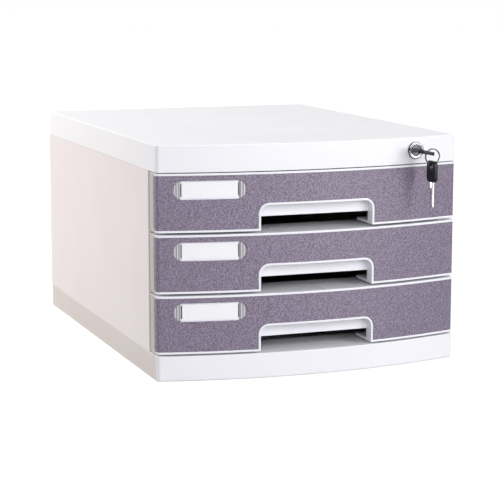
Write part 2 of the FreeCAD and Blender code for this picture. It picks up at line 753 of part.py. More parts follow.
def make_lock_housing():
    """The lock's face and barrel, in one piece."""
    body = new_body("lock_housing")
    pad(body, "XZ", lock_face, lock_seat, Circle(lock_x, lock_z, S.lock_flange_radius))
    front = value_of(lock_face)
    last = body.Tip
    edges = enumerate(last.Shape.Edges, start=1)
    names = [f"Edge{number}" for number, edge in edges if edge.BoundBox.YMax < front + 1e-4]
    chamfer = body.newObject("PartDesign::Chamfer", "lock_face_bevel")
    chamfer.Base = (last, names)
    bind(chamfer, "Size", S.lock_bevel)
    doc.recompute()
    pad(body, "XZ", lock_seat, barrel_end, Circle(lock_x, lock_z, S.lock_barrel_radius))
    bore = Circle(lock_x, lock_z, S.plug_radius + S.plug_clearance)
    pocket(body, "XZ", lock_face - S.overrun, barrel_end + S.overrun, bore)
    return body


def make_lock_nut():
    """The hexagonal nut that holds the lock in the cover."""
    body = new_body("lock_nut")
    flat = S.nut_flats / 2
    point = flat / cosine(30)
    corners = [
        Line(lock_x + point, lock_z),
        Line(lock_x + point / 2, lock_z + flat),
        Line(lock_x - point / 2, lock_z + flat),
        Line(lock_x - point, lock_z),
        Line(lock_x - point / 2, lock_z - flat),
        Line(lock_x + point / 2, lock_z - flat),
    ]
    start = lock_seat + S.lock_boss_depth
    pad(body, "XZ", start, start + S.nut_thickness, corners)
    bore = Circle(lock_x, lock_z, S.lock_barrel_radius + S.barrel_clearance)
    pocket(body, "XZ", start - S.overrun, start + S.nut_thickness + S.overrun, bore)
    return body


def square(half):
    """A square round the lock's axis."""
    return rectangle(lock_x - half, lock_x + half, lock_z - half, lock_z + half)


def tilted(across, up):
    """A place beside the lock's axis, turned clockwise by the key's tilt."""
    turn, rise = cosine(S.key_tilt), sine(S.key_tilt)
    return lock_x + across * turn + up * rise, lock_z - across * rise + up * turn


def make_lock_plug():
    """The plug that the key turns, with its keyway and square drive."""
    body = new_body("lock_plug")
    face = lock_face + S.plug_sunk
    shoulder = barrel_end + S.plug_overrun
    pad(body, "XZ", face, shoulder, Circle(lock_x, lock_z, S.plug_radius))
    pad(body, "XZ", shoulder, cam_back, square(S.drive_square / 2))
    corners = rectangle(-S.keyway_width / 2, S.keyway_width / 2, -S.keyway_height / 2, S.keyway_height / 2)
    keyway = [Line(*tilted(step.x, step.y)) for step in corners]
    pocket(body, "XZ", face - S.overrun, face + S.keyway_depth, keyway)
    hole = Circle(lock_x, lock_z, S.screw_radius)
    pocket(body, "XZ", cam_back - S.cam_screw_length, cam_back + S.overrun, hole)
    return body


def make_lock_cam():
    """The cam with the pin that lifts and lowers the locking bar."""
    body = new_body("lock_cam")
    pad(body, "XZ", cam_front, cam_back, Circle(lock_x, lock_z, S.cam_hub_radius))
    pad(body, "XZ", cam_front, cam_back, Circle(pin_x, pin_z, S.cam_nose_radius))
    pocket(
        body, "XZ", cam_front - S.overrun, cam_back + S.overrun,
        square(S.drive_square / 2 + S.drive_clearance),
    )
    pad(body, "XZ", cam_front, cam_back + S.cam_pin_length, Circle(pin_x, pin_z, S.cam_pin_radius))
    return body


def make_locking_bar():
    """The folded bar: an arm to the cam, a wide head in the cover, and a strip with three hooks."""
    body = new_body("locking_bar")
    outer = inner_side - S.bar_gap
    inner = outer - S.bar_thickness
    arm_front = cam_back + S.bar_arm_gap
    arm_back = arm_front + S.bar_thickness
    half = S.bar_arm_height / 2
    slot = S.cam_pin_radius + S.bar_slot_clearance
    arm_start = pin_x - slot - S.cam_pin_radius
    strip_bottom = front_bottom(len(DRAWERS) - 1) + catch_top + S.catch_gap - S.bar_tail
    head_bottom = cover_bottom + S.bar_head_gap + bar_lift
    back = front_line + S.bar_back
    strip = rectangle(front_line + S.bar_front, back, strip_bottom, pin_z + half)
    head = rectangle(arm_front, back, head_bottom, pin_z + half)
    pad(body, "YZ", inner, outer, strip)
    pad(body, "YZ", inner, outer, head)
    pad(body, "XZ", arm_front, arm_back, rectangle(arm_start, outer, pin_z - half, pin_z + half))
    slot_x = (pin_x - slot, lock_x + S.cam_throw + slot)
    slot_loop = rectangle(*slot_x, pin_z - slot, pin_z + slot)
    pocket(body, "XZ", arm_front - S.overrun, arm_back + S.overrun, slot_loop)
    hook_x = (tray_half + S.hook_clearance, outer)
    hook_front = front_line + S.hook_front
    for level in range(len(DRAWERS)):
        bottom = front_bottom(level) + catch_top + S.catch_gap
        hook = rectangle(*hook_x, bottom, bottom + S.hook_height)
        pad(body, "XZ", hook_front, hook_front + S.bar_thickness, hook)
    return body


def make_bar_guides():
    """The two guides that hold the bar to the right-hand side panel."""
    outer = inner_side - S.bar_gap
    inner = outer - S.bar_thickness
    guides = []
    for number, share in enumerate(GUIDE_DROP_SHARES):
        body = new_body(f"bar_guide_{number}")
        low = front_bottom(0) + S.rib_level - (front_height + S.drawer_gap) * share
        start, end = front_line + S.bar_front - S.guide_wall, front_line + S.bar_back + S.guide_end_wall
        inside = inner - S.guide_clearance - S.guide_wall
        pad(body, "XY", low, low + S.guide_height, rectangle(inside, inner_side, start, end))
        slot = rectangle(
            inner - S.guide_clearance, outer + S.guide_clearance,
            front_line + S.bar_front - S.guide_clearance, front_line + S.bar_back + S.guide_clearance,
        )
        pocket(body, "XY", low - S.overrun, low + S.guide_height + S.overrun, slot)
        guides.append(body)
    return group("bar_guides", guides)


def make_cam_screw():
    """The screw that holds the cam on its square drive."""
    whole = screw("cam_screw", "Y", (lock_x, cam_back, lock_z), -1, S.cam_screw_head, S.cam_screw_length)
    whole.Label = "cam_screw"
    return whole


def make_key(prefix):
    """A key on its own: the blade points along +Y from the origin and the bow lies behind it."""
    half = S.key_blade_width / 2
    length = S.key_blade_length
    tip = S.key_blade_width * TIP_SHARE
    rise = S.key_blade_thickness / 2
    blade = new_body(f"{prefix}_blade")
    cuts = [Line(S.key_cut * depth - half, length * (1 - share)) for share, depth in KEY_CUT_SHARES]
    loop = [Line(half - tip, length), Line(tip - half, length)] + cuts
    loop += [Line(-half, -S.key_tang), Line(half, -S.key_tang), Line(half, length - tip)]
    pad(blade, "XY", -rise, rise, loop)
    bow = new_body(f"{prefix}_bow")
    wide, thick = S.bow_width / 2, S.bow_thickness / 2
    pad(bow, "XY", -thick, thick, rounded(-wide, wide, -S.bow_length, 0, S.bow_round))
    hole = Circle(0, S.bow_hole_margin + S.bow_hole_radius - S.bow_length, S.bow_hole_radius)
    pocket(bow, "XY", -thick - S.overrun, thick + S.overrun, hole)
    pocket(bow, "XZ", -S.key_tang, 0, rectangle(-half, half, -rise, rise))
    return blade, bow


# The keys' places
bow_start = lock_face + S.plug_sunk + S.key_insert - S.key_blade_length
hole_y = bow_start - S.bow_length + S.bow_hole_margin + S.bow_hole_radius
ring_reach = S.ring_radius + S.ring_play
ring_x = lock_x + ring_reach * cosine(S.ring_lean)
ring_z = lock_z - ring_reach * sine(S.ring_lean)
spare_top = ring_z - S.ring_radius + S.ring_wire_radius + S.hang_clearance + S.bow_hole_margin


def place(item, x, y, z, rotation):
    """Puts a piece at its named place, turned as it lies."""
    item.Placement = FreeCAD.Placement(FreeCAD.Vector(), rotation)
    for letter, size in zip("xyz", (x, y, z)):
        bind(item, f"Placement.Base.{letter}", size)


def make_keys():
    """The key in the lock, the ring through its bow, and the spare key hanging edge-on."""
    for item in make_key("key"):
        place(item, lock_x, bow_start, lock_z, FreeCAD.Rotation(FreeCAD.Vector(0, 1, 0), 1))
        bind(item, "Placement.Rotation.Angle", S.key_tilt)
    for item in make_key("spare_key"):
        place(item, ring_x, hole_y, spare_top - S.bow_length, SPARE_TURN)
    ring = doc.addObject("Part::Torus", "key_ring")
    ring.Label = "key_ring"
    bind(ring, "Radius1", S.ring_radius)
    bind(ring, "Radius2", S.ring_wire_radius)
    place(ring, ring_x, hole_y, ring_z, FreeCAD.Rotation(FreeCAD.Vector(1, 0, 0), 90))


# The spare key's blade points down and its cuts face the drawers: a key's X, Y and Z become -Y, -Z and +X
SPARE_TURN = FreeCAD.Rotation(FreeCAD.Matrix(0, 0, 1, 0, -1, 0, 0, 0, 0, -1, 0, 0, 0, 0, 0, 1))


def notch_outline(extra):
    """The finger notch seen from the front, grown by an amount, open at the lower edge."""
    half = S.notch_width / 2 + extra
    top = S.notch_height + extra
    radius = S.notch_round + extra
    return [
        Line(-half, -S.overrun),
        Line(half, -S.overrun),
        Arc(half, top - radius, radius, 1),
        Line(half - radius, top),
        Arc(radius - half, top, radius, 1),
        Line(-half, top - radius),
    ]


label_middle = front_height - S.label_drop
label_left = S.label_side - half_width
label_right = label_left + S.label_width
label_x = label_left + S.label_width / 2
card_half = S.card_width / 2
y_ahead = front_line - S.front_bow - S.overrun


def card_slots(rise):
    """The upright slots at the card's two ends, seen from the front."""
    far = card_half + S.card_slot
    low, high = label_middle - rise, label_middle + rise
    return [
        rectangle(label_x - far, label_x - card_half, low, high),
        rectangle(label_x + card_half, label_x + far, low, high),
    ]


def make_front(prefix, height):
    """A drawer's front moulding: bowed wall, top plate, notch box, screw bosses and facing recess."""
    shell = new_body(f"{prefix}_shell")
    top = front_height - S.ledge_thickness
    back = front_line + S.front_back
    open_back = back + S.overrun
    half = S.notch_width / 2 + S.notch_wall
    roof = S.notch_height + S.notch_wall
    notch_rear = front_line - S.notch_back
    notch_face = notch_rear - S.notch_wall
    pad(shell, "XY", 0, front_height, front_plan(0, back))
    round_edges(shell, S.edge_soft, on_front_outline)
    pocket(shell, "XY", S.front_floor, top, front_plan(S.front_wall, open_back))
    plate = rectangle(-half_width, half_width, back - S.overrun, back + S.front_plate)
    pad(shell, "XY", top, front_height, plate)
    ledge_end = half_width - S.ledge_side
    ledge = rectangle(-ledge_end, ledge_end, back - S.overrun, front_line + S.ledge_back)
    pad(shell, "XY", top, front_height, ledge)
    pad(shell, "XY", 0, roof, bow_piece(-half, half, (S.front_wall + S.facing_recess) / 2, notch_rear))
    for side in (-1, 1):
        for z in (S.front_screw_low, upper_screw_z):
            x = front_screw_x * side
            start = bow_y(front_screw_x + S.boss_radius, S.facing_recess + S.rim_proud)
            pad(shell, "XZ", start, back, Circle(x, z, S.boss_radius))
            deep = back - S.front_screw_length
            pocket(shell, "XZ", deep, back + S.overrun, Circle(x, z, S.screw_radius))
    pocket(shell, "XZ", y_ahead, notch_face, notch_outline(0))
    below = rectangle(-S.notch_width / 2, S.notch_width / 2, -S.overrun, S.notch_gap)
    pocket(shell, "XZ", notch_face - S.overrun, open_back, below)
    recess = new_body(f"{prefix}_recess")
    wrap = front_line + S.facing_wrap
    pad(recess, "XY", S.rim, front_height - S.rim, crescent(-S.overrun, S.facing_recess, wrap))
    round_edges(recess, S.facing_round, on_facing_end)
    pocket(recess, "XZ", y_ahead - S.overrun, front_line, notch_outline(S.notch_wall))
    pocket(shell, "XZ", y_ahead, front_line, *card_slots(S.card_slot_height / 2))
    front = doc.addObject("Part::Cut", f"{prefix}_front")
    front.Base, front.Tool = shell, recess
    front.Label = f"{prefix}_front"
    bind(front, "Placement.Base.z", height)
    return front


def make_facing(prefix, height):
    """The grained facing that lies in the front's recess."""
    body = new_body(f"{prefix}_facing")
    wrap = front_line + S.facing_wrap
    pad(body, "XY", S.rim, front_height - S.rim, crescent(S.rim_proud, S.facing_recess, wrap))
    round_edges(body, S.facing_round, on_facing_end)
    pocket(body, "XZ", y_ahead, front_line, notch_outline(S.notch_wall))
    hole = stadium(label_left, label_right, label_middle, S.label_height / 2)
    pocket(body, "XZ", y_ahead, front_line, hole)
    bind(body, "Placement.Base.z", height)
    return body


def bowed_plate(name, outer, inner, z_low, z_high, x_low, x_high):
    """A thin plate that follows the bow between two depths and two places along it."""
    body = new_body(name)
    loop = [
        Arc(x_low, bow_y(x_low, outer), bow_radius - outer, 1),
        Line(x_high, bow_y(x_high, outer)),
        Arc(x_high, bow_y(x_high, inner), bow_radius - inner, -1),
        Line(x_low, bow_y(x_low, inner)),
    ]
    pad(body, "XY", z_low, z_high, loop)
    return body


def make_label(prefix, height):
    """The clear window with its two card slots, and the card behind it."""
    gap = S.label_clearance
    radius = S.label_height / 2 - gap
    low, high = label_middle - radius, label_middle + radius
    card_front = S.facing_recess - S.card_thickness
    blank = bowed_plate(
        f"{prefix}_window_blank", S.label_sunk, card_front,
        low - S.overrun, high + S.overrun, label_left - S.overrun, label_right + S.overrun,
    )
    outline = new_body(f"{prefix}_window_outline")
    pad(outline, "XZ", y_ahead, front_line, stadium(label_left + gap, label_right - gap, label_middle, radius))
    rise = S.card_height / 2
    pocket(outline, "XZ", y_ahead - S.overrun, front_line + S.overrun, *card_slots(rise))
    window = doc.addObject("Part::Common", f"{prefix}_label_window")
    window.Base, window.Tool = blank, outline
    window.Label = f"{prefix}_label_window"
    card = bowed_plate(
        f"{prefix}_label_card", card_front, S.facing_recess,
        label_middle - rise, label_middle + rise, label_x - card_half, label_x + card_half,
    )
    for item in (window, card):
        bind(item, "Placement.Base.z", height)
    return window, card


def make_tray(prefix, height):
    """A drawer's tray: open box, wide front plate, and runner ribs with stop nibs."""
    body = new_body(f"{prefix}_tray")
    half = tray_half
    top = front_height - S.ledge_thickness
    front = front_line + S.front_back
    back = front_line + S.tray_back
    inside_front = front + S.front_plate
    pad(body, "XY", S.tray_lift, top, rectangle(-half, half, front, back))
    inner = half - S.tray_wall
    pocket(
        body, "XY", S.tray_lift + S.tray_wall, top + S.overrun,
        rectangle(-inner, inner, inside_front, back - S.tray_wall),
    )
    plate_half = half_width - S.front_plate_inset
    pad(body, "XY", S.tray_lift, top, rectangle(-plate_half, plate_half, front, inside_front))
    nib_start = front_line + S.rail_front + S.nib_length + S.stop_clearance + S.drawer_travel
    rib_top = S.rib_level + S.rib_thickness
    for side in (-1, 1):
        rib_x = span(half, half + S.rib_reach, side)
        pad(body, "XY", S.rib_level, rib_top, rectangle(*rib_x, front_line + S.rail_front, back))
        nib = rectangle(*rib_x, nib_start, nib_start + S.nib_length)
        pad(body, "XY", rib_top, rib_top + S.nib_height, nib)
        for z in (S.front_screw_low, upper_screw_z):
            hole = Circle(front_screw_x * side, z, S.screw_radius + S.hole_clearance)
            pocket(body, "XZ", front - S.overrun, inside_front + S.overrun, hole)
    bind(body, "Placement.Base.z", height)
    return body


def make_catch(prefix, height):
    """The steel catch on the tray's right-hand wall, which a lowered hook stands in front of."""
    body = new_body(f"{prefix}_lock_catch")
    wall = tray_half
    start = front_line + S.hook_front + S.bar_thickness + S.catch_gap
    outline = rectangle(wall, wall + S.catch_reach, start, start + S.catch_length)
    pad(body, "XY", catch_bottom, catch_top, outline)
    bind(body, "Placement.Base.z", height)
    return body


def make_front_screws(prefix, height):
    """The four screws that hold the front moulding to the tray."""
    seat = front_line + S.front_back + S.front_plate
    length = S.front_plate + S.front_screw_length
    screws = [
        screw(f"{prefix}_screw_{side_name}_{z_name}", "Y", (front_screw_x * side, seat, z), -1,
              S.screw_head_radius, length)
        for side_name, side in (("left", -1), ("right", 1))
        for z_name, z in (("low", S.front_screw_low), ("high", upper_screw_z))
    ]
    bundle = group(f"{prefix}_front_screws", screws)
    bind(bundle, "Placement.Base.z", height)
    return bundle


def make_drawers():
    """The three drawers, from the top down."""
    for level, name in enumerate(DRAWERS):
        prefix = f"{name}_drawer"
        height = front_bottom(level)
        make_tray(prefix, height)
        make_catch(prefix, height)
        make_front(prefix, height)
        make_facing(prefix, height)
        make_label(prefix, height)
        make_front_screws(prefix, height)


DRAWER_NODES = ["tray", "lock_catch", "front", "facing", "label_window", "label_card", "front_screws"]
NODES = [
    "top_cover", "base", "left_side_panel", "right_side_panel", "back_panel", "rubber_pads",
    "cover_screws", "base_screws", "back_screws", "lock_housing", "lock_nut", "bar_guides",
    "lock_plug", "lock_cam", "cam_screw", "locking_bar", "key_blade", "key_bow", "key_ring",
    "spare_key_blade", "spare_key_bow",
] + [f"{name}_drawer_{node}" for name in DRAWERS for node in DRAWER_NODES]


def write_parts():
    """Checks every object and sub-part, then writes each one's file."""
    failed = [item.Name for item in doc.Objects if {"Invalid", "Error"} & set(item.State)]
    if failed:
        raise RuntimeError(f"objects that failed: {failed}")
    by_label = {item.Label: item for item in doc.Objects}
    for node in NODES:
        shape = by_label[node].Shape
        if shape.isNull() or not shape.isValid() or not shape.Solids:
            raise RuntimeError(f"{node} has no valid shape")
    os.makedirs("parts", exist_ok=True)
    for node in NODES:
        shape = by_label[node].Shape
        shape.exportStep(os.path.join("parts", f"{node}.step"))
        print(f"{node}: {len(shape.Solids)} solid(s), {shape.Volume:.1f} mm3")


make_top_cover()
make_base()
make_side_panel("left_side_panel", -1)
make_side_panel("right_side_panel", 1)
make_back_panel()
make_pads()
make_casing_screws()
make_lock_housing()
make_lock_nut()
make_lock_plug()
make_lock_cam()
make_cam_screw()
make_locking_bar()
make_bar_guides()
make_keys()
make_drawers()
doc.recompute()
write_parts()
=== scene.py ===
"""Desktop file drawer: finishes, fine pieces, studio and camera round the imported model."""
import json
import logging
import math
from dataclasses import dataclass
from enum import Enum
from typing import Iterable, Optional, Sequence, Union

import bmesh
import bpy
from bmesh.types import BMEdge, BMesh, BMFace, BMVert
from bpy.types import Material, Node, NodeSocket, NodeTree, Object
from mathutils import Matrix, Vector


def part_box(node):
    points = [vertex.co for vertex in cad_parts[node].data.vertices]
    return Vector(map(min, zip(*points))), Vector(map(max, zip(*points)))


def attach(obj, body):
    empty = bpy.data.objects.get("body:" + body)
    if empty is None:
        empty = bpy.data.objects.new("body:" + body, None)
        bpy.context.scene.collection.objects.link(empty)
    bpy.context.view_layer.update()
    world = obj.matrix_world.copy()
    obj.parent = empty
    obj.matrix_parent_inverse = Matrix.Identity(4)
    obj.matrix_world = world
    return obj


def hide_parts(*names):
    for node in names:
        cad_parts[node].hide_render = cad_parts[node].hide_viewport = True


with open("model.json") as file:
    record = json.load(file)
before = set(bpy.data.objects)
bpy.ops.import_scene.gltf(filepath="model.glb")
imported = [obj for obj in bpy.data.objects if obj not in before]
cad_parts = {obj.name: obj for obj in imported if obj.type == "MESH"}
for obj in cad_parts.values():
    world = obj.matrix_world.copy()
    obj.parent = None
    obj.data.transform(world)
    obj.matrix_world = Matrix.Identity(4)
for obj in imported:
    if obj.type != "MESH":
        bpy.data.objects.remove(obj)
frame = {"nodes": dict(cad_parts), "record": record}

LOG = logging.getLogger("file_drawer")
MM = 0.001
# Vertices nearer to each other than this are one.
WELD = 0.001 * MM
# Blender's wave texture runs through this many radians in one unit of its scale.
WAVE_RADIANS = 20.0
Colour = tuple[float, float, float]
Points = tuple[tuple[float, float], ...]
Source = Union[NodeSocket, float, Colour]
NODES: dict[str, Object] = frame["nodes"]
LEVELS = ("top", "middle", "bottom")


class Socket(Enum):
    """Kinds of node group sockets."""

    NUMBER = "NodeSocketFloat"
    VECTOR = "NodeSocketVector"


class Tree:
    """A node tree with short calls that add and join its nodes."""

    def __init__(self, tree: NodeTree) -> None:
        """Keeps the tree that the calls work on."""
        self.tree = tree

    def join(self, source: NodeSocket, target: NodeSocket) -> None:
        """Links an output to an input."""
        self.tree.links.new(source, target)

    def fill(self, node: Node, links: dict) -> Node:
        """Links or sets some of a node's inputs.

        Args:
            node: the node.
            links: input name or number, to a socket of another node or a plain value.

        Returns:
            The same node.
        """
        for key, value in links.items():
            if isinstance(value, NodeSocket):
                self.join(value, node.inputs[key])
            else:
                node.inputs[key].default_value = value
        return node

    def add(self, kind: str, links: Optional[dict] = None, **settings: object) -> Node:
        """Adds a node, sets its properties and fills its inputs.

        Args:
            kind: the node's type name.
            links: what its inputs take, as for fill.
            **settings: properties of the node itself.

        Returns:
            The new node.
        """
        node = self.tree.nodes.new(kind)
        for name, value in settings.items():
            setattr(node, name, value)
        return self.fill(node, links or {})

    def group(self, name: str, **links: Source) -> bpy.types.bpy_prop_collection:
        """The outputs of a shared node group that is placed with its own values."""
        return self.add("ShaderNodeGroup", links, node_tree=bpy.data.node_groups[name]).outputs

    def math(self, operation: str, *values: Source, clamp: bool = False) -> NodeSocket:
        """A Math node's result for two or three values or sockets."""
        links = dict(enumerate(values))
        return self.add("ShaderNodeMath", links, operation=operation, use_clamp=clamp).outputs[0]

    def spread(self, value: Source, low: float, high: float, to_low: float, to_high: float) -> NodeSocket:
        """A smooth Map Range from one pair of limits to another."""
        links = {"Value": value, "From Min": low, "From Max": high, "To Min": to_low, "To Max": to_high}
        return self.add("ShaderNodeMapRange", links, interpolation_type="SMOOTHSTEP").outputs[0]

    def blend(self, share: Source, first: Source, second: Source) -> NodeSocket:
        """Mixes two colours by a share."""
        first, second = ((*value, 1.0) if isinstance(value, tuple) else value for value in (first, second))
        return self.add("ShaderNodeMix", {0: share, 6: first, 7: second}, data_type="RGBA").outputs[2]

    def noise(self, place: Source, scale: Source, detail: float, **more: Source) -> NodeSocket:
        """A Noise Texture's value."""
        links = {"Vector": place, "Scale": scale, "Detail": detail, **more}
        return self.add("ShaderNodeTexNoise", links).outputs["Fac"]

    def bump(self, height: Source, strength: float, distance: float, **over: Source) -> NodeSocket:
        """A Bump node's normal, over another Normal where one is given."""
        links = {"Height": height, "Strength": strength, "Distance": distance, **over}
        return self.add("ShaderNodeBump", links).outputs[0]

    def rays(self) -> tuple[NodeSocket, NodeSocket]:
        """Whether a ray is seen, straight or through something clear, and whether it is a mirrored one.

        Returns:
            Both as sockets that are 1 where it holds.
        """
        path = self.add("ShaderNodeLightPath").outputs
        seen = self.math("MAXIMUM", path["Is Camera Ray"], path["Is Transmission Ray"])
        return seen, path["Is Glossy Ray"]


def new_group(name: str, numbers: dict[str, float], outputs: dict[str, Socket]) -> tuple:
    """Starts a shader node group whose first input is a Vector.

    Args:
        name: the group's name.
        numbers: each further input's name, to its default.
        outputs: each output's name, to its kind.

    Returns:
        The tree, its input node's sockets and its output node's sockets.
    """
    group = bpy.data.node_groups.new(name, "ShaderNodeTree")
    group.interface.new_socket("Vector", in_out="INPUT", socket_type=Socket.VECTOR.value)
    for socket_name, default in numbers.items():
        socket = group.interface.new_socket(socket_name, in_out="INPUT", socket_type=Socket.NUMBER.value)
        socket.default_value = default
    for socket_name, kind in outputs.items():
        group.interface.new_socket(socket_name, in_out="OUTPUT", socket_type=kind.value)
    tree = Tree(group)
    return tree, tree.add("NodeGroupInput").outputs, tree.add("NodeGroupOutput").inputs


def moulded_skin() -> NodeTree:
    """The faint orange peel and slow flow marks of moulded plastic, as a height and a drift of tone.

    Returns:
        The node group.
    """
    tree, given, made = new_group(
        "moulded_skin", {"Peel Scale": 900.0, "Flow Scale": 9.0},
        {"Height": Socket.NUMBER, "Drift": Socket.NUMBER},
    )
    peel = tree.noise(given["Vector"], given["Peel Scale"], 3.0)
    flow = tree.noise(given["Vector"], given["Flow Scale"], 2.0)
    tree.join(peel, made["Height"])
    tree.join(tree.spread(flow, 0.3, 0.7, 0.0, 1.0), made["Drift"])
    return tree.tree


def pebbled_grain() -> NodeTree:
    """Fine leather-like grain: rounded pebbles with dark valleys, as a height and a shade.

    Returns:
        The node group.
    """
    tree, given, made = new_group(
        "pebbled_grain", {"Scale": 700.0}, {"Height": Socket.NUMBER, "Shade": Socket.NUMBER},
    )
    place, reach = given["Vector"], (1.6 * MM,) * 3
    warp = tree.add("ShaderNodeTexNoise", {"Vector": place, "Scale": 500.0, "Detail": 2.0})
    offset = tree.add("ShaderNodeVectorMath", {0: warp.outputs["Color"], 1: reach}, operation="MULTIPLY")
    moved = tree.add("ShaderNodeVectorMath", {0: place, 1: offset.outputs[0]}, operation="ADD")
    cells = tree.add(
        "ShaderNodeTexVoronoi", {"Vector": moved.outputs[0], "Scale": given["Scale"], "Smoothness": 0.6},
        feature="SMOOTH_F1",
    )
    pebble = tree.spread(cells.outputs["Distance"], 0.1, 0.75, 1.0, 0.0)
    blotch = tree.noise(place, 420.0, 5.0, Roughness=0.7)
    tree.join(pebble, made["Height"])
    shade = tree.math("MULTIPLY_ADD", pebble, 0.45, tree.math("MULTIPLY", blotch, 0.55))
    tree.join(tree.spread(shade, 0.25, 0.75, 0.0, 1.0), made["Shade"])
    return tree.tree


def worn_and_lit_edges() -> NodeTree:
    """The outer edges: a mask broken up by noise, and a softened normal. Most finishes use the mask for worn
    edges; the ribbed window ends use it for a painted highlight and the lock face for a painted dark
    reflection.

    Returns:
        The node group.
    """
    tree, given, made = new_group(
        "worn_and_lit_edges", {"Radius": 0.6 * MM, "Break Up": 120.0},
        {"Mask": Socket.NUMBER, "Normal": Socket.VECTOR},
    )
    soft = tree.add("ShaderNodeBevel", {"Radius": given["Radius"]}, samples=5).outputs[0]
    tree.join(soft, made["Normal"])
    normal = tree.add("ShaderNodeNewGeometry").outputs["Normal"]
    facing = tree.add("ShaderNodeVectorMath", {0: soft, 1: normal}, operation="DOT_PRODUCT")
    edge = tree.spread(facing.outputs["Value"], 0.8, 0.995, 1.0, 0.0)
    noise = tree.noise(given["Vector"], given["Break Up"], 4.0)
    broken = tree.spread(noise, 0.35, 0.6, 0.25, 1.0)
    tree.join(tree.math("MULTIPLY", edge, broken), made["Mask"])
    return tree.tree


def fine_scratches() -> NodeTree:
    """Hair lines along one way of a metal surface, as a height and a tone.

    Returns:
        The node group.
    """
    tree, given, made = new_group(
        "fine_scratches", {"Scale": 400.0}, {"Height": Socket.NUMBER, "Tone": Socket.NUMBER},
    )
    place, squeeze = given["Vector"], (1.0, 1.0, 14.0)
    squeezed = tree.add("ShaderNodeVectorMath", {0: place, 1: squeeze}, operation="MULTIPLY").outputs[0]
    tree.join(tree.noise(squeezed, given["Scale"], 4.0), made["Height"])
    tree.join(tree.spread(tree.noise(place, 60.0, 3.0), 0.3, 0.7, 0.0, 1.0), made["Tone"])
    return tree.tree


@dataclass(frozen=True)
class Finish:
    """What every finish has: a name and a way to start its material."""

    name: str

    def start(self) -> tuple[Material, Tree, Node, NodeSocket]:
        """A new material with its shader and its Object coordinates.

        Returns:
            The material, its tree, the shader and the coordinates.
        """
        material = bpy.data.materials.new(self.name)
        material.use_nodes = True
        tree = Tree(material.node_tree)
        shader = material.node_tree.nodes["Principled BSDF"]
        place = tree.add("ShaderNodeTexCoord").outputs["Object"]
        return material, tree, shader, place


@dataclass(frozen=True)
class MouldedPlastic(Finish):
    """Smooth or satin moulded plastic with a faint peel, slow drift of tone and paler worn edges."""

    colour: Colour
    drift_colour: Colour
    roughness: float = 0.42
    smoother: float = 0.03
    rougher: float = 0.05
    peel: float = 0.04
    peel_height: float = 0.3 * MM
    edge: float = 0.25
    edge_colour: Colour = (1.0, 1.0, 1.0)
    shine: float = 0.5

    def build(self) -> Material:
        """Makes the material.

        Returns:
            The new material.
        """
        material, tree, shader, place = self.start()
        skin = tree.group("moulded_skin", Vector=place)
        edge_wear_and_light = tree.group("worn_and_lit_edges", Vector=place)
        tone = tree.blend(skin["Drift"], self.colour, self.drift_colour)
        edge_wear_and_light_share = tree.math("MULTIPLY", edge_wear_and_light["Mask"], self.edge)
        low, high = self.roughness - self.smoother, self.roughness + self.rougher
        tree.fill(shader, {
            "Base Color": tree.blend(edge_wear_and_light_share, tone, self.edge_colour),
            "Roughness": tree.spread(skin["Drift"], 0.0, 1.0, low, high),
            "Specular IOR Level": self.shine,
            "Normal": tree.bump(skin["Height"], self.peel, self.peel_height, Normal=edge_wear_and_light["Normal"]),
        })
        return material


@dataclass(frozen=True)
class GrainedPlastic(Finish):
    """The drawers' facings: purple-grey plastic with a fine pebbled grain."""

    colour: Colour
    valley_colour: Colour
    pebble_roughness: float = 0.31
    valley_roughness: float = 0.46
    scale: float = 900.0
    grain: float = 0.5
    grain_height: float = 0.25 * MM
    edge: float = 0.3
    edge_lift: float = 1.5
    shine: float = 0.85

    def build(self) -> Material:
        """Makes the material.

        Returns:
            The new material.
        """
        material, tree, shader, place = self.start()
        grain = tree.group("pebbled_grain", Vector=place, Scale=self.scale)
        edge_wear_and_light = tree.group("worn_and_lit_edges", Vector=place)
        tone = tree.blend(grain["Shade"], self.valley_colour, self.colour)
        lifted = tuple(min(1.0, part * self.edge_lift) for part in self.colour)
        edge_wear_and_light_share = tree.math("MULTIPLY", edge_wear_and_light["Mask"], self.edge)
        tree.fill(shader, {
            "Base Color": tree.blend(edge_wear_and_light_share, tone, lifted),
            "Roughness": tree.spread(grain["Shade"], 0.0, 1.0, self.valley_roughness, self.pebble_roughness),
            "Specular IOR Level": self.shine,
            "Normal": tree.bump(grain["Height"], self.grain, self.grain_height, Normal=edge_wear_and_light["Normal"]),
        })
        return material


@dataclass(frozen=True)
class Metal(Finish):
    """Plated metal with hair lines, a cloudy tone and a tone on its edges: paler worn edges on most plates, a
    near-black painted dark reflection on the lock's polished plate.
    """

    colour: Colour
    dull_colour: Colour
    roughness: float = 0.2
    smoother: float = 0.05
    rougher: float = 0.1
    line: float = 0.02
    line_height: float = 0.1 * MM
    edge: float = 0.5
    edge_tone: float = 0.9
    edge_width: float = 0.3 * MM

    def build(self) -> Material:
        """Makes the material.

        Returns:
            The new material.
        """
        material, tree, shader, place = self.start()
        lines = tree.group("fine_scratches", Vector=place)
        edge_wear_and_light = tree.group("worn_and_lit_edges", Vector=place, Radius=self.edge_width)
        tone = tree.blend(lines["Tone"], self.dull_colour, self.colour)
        # Edges blend to edge_tone: a pale tone is worn metal; polished_plate's near-black tone is a painted
        # dark reflection round the lock face.
        edge_wear_and_light_share = tree.math("MULTIPLY", edge_wear_and_light["Mask"], self.edge, clamp=True)
        low, high = self.roughness - self.smoother, self.roughness + self.rougher
        tree.fill(shader, {
            "Base Color": tree.blend(edge_wear_and_light_share, tone, (self.edge_tone,) * 3),
            "Metallic": 1.0,
            "Roughness": tree.spread(lines["Height"], 0.3, 0.7, low, high),
            "Normal": tree.bump(lines["Height"], self.line, self.line_height, Normal=edge_wear_and_light["Normal"]),
        })
        return material


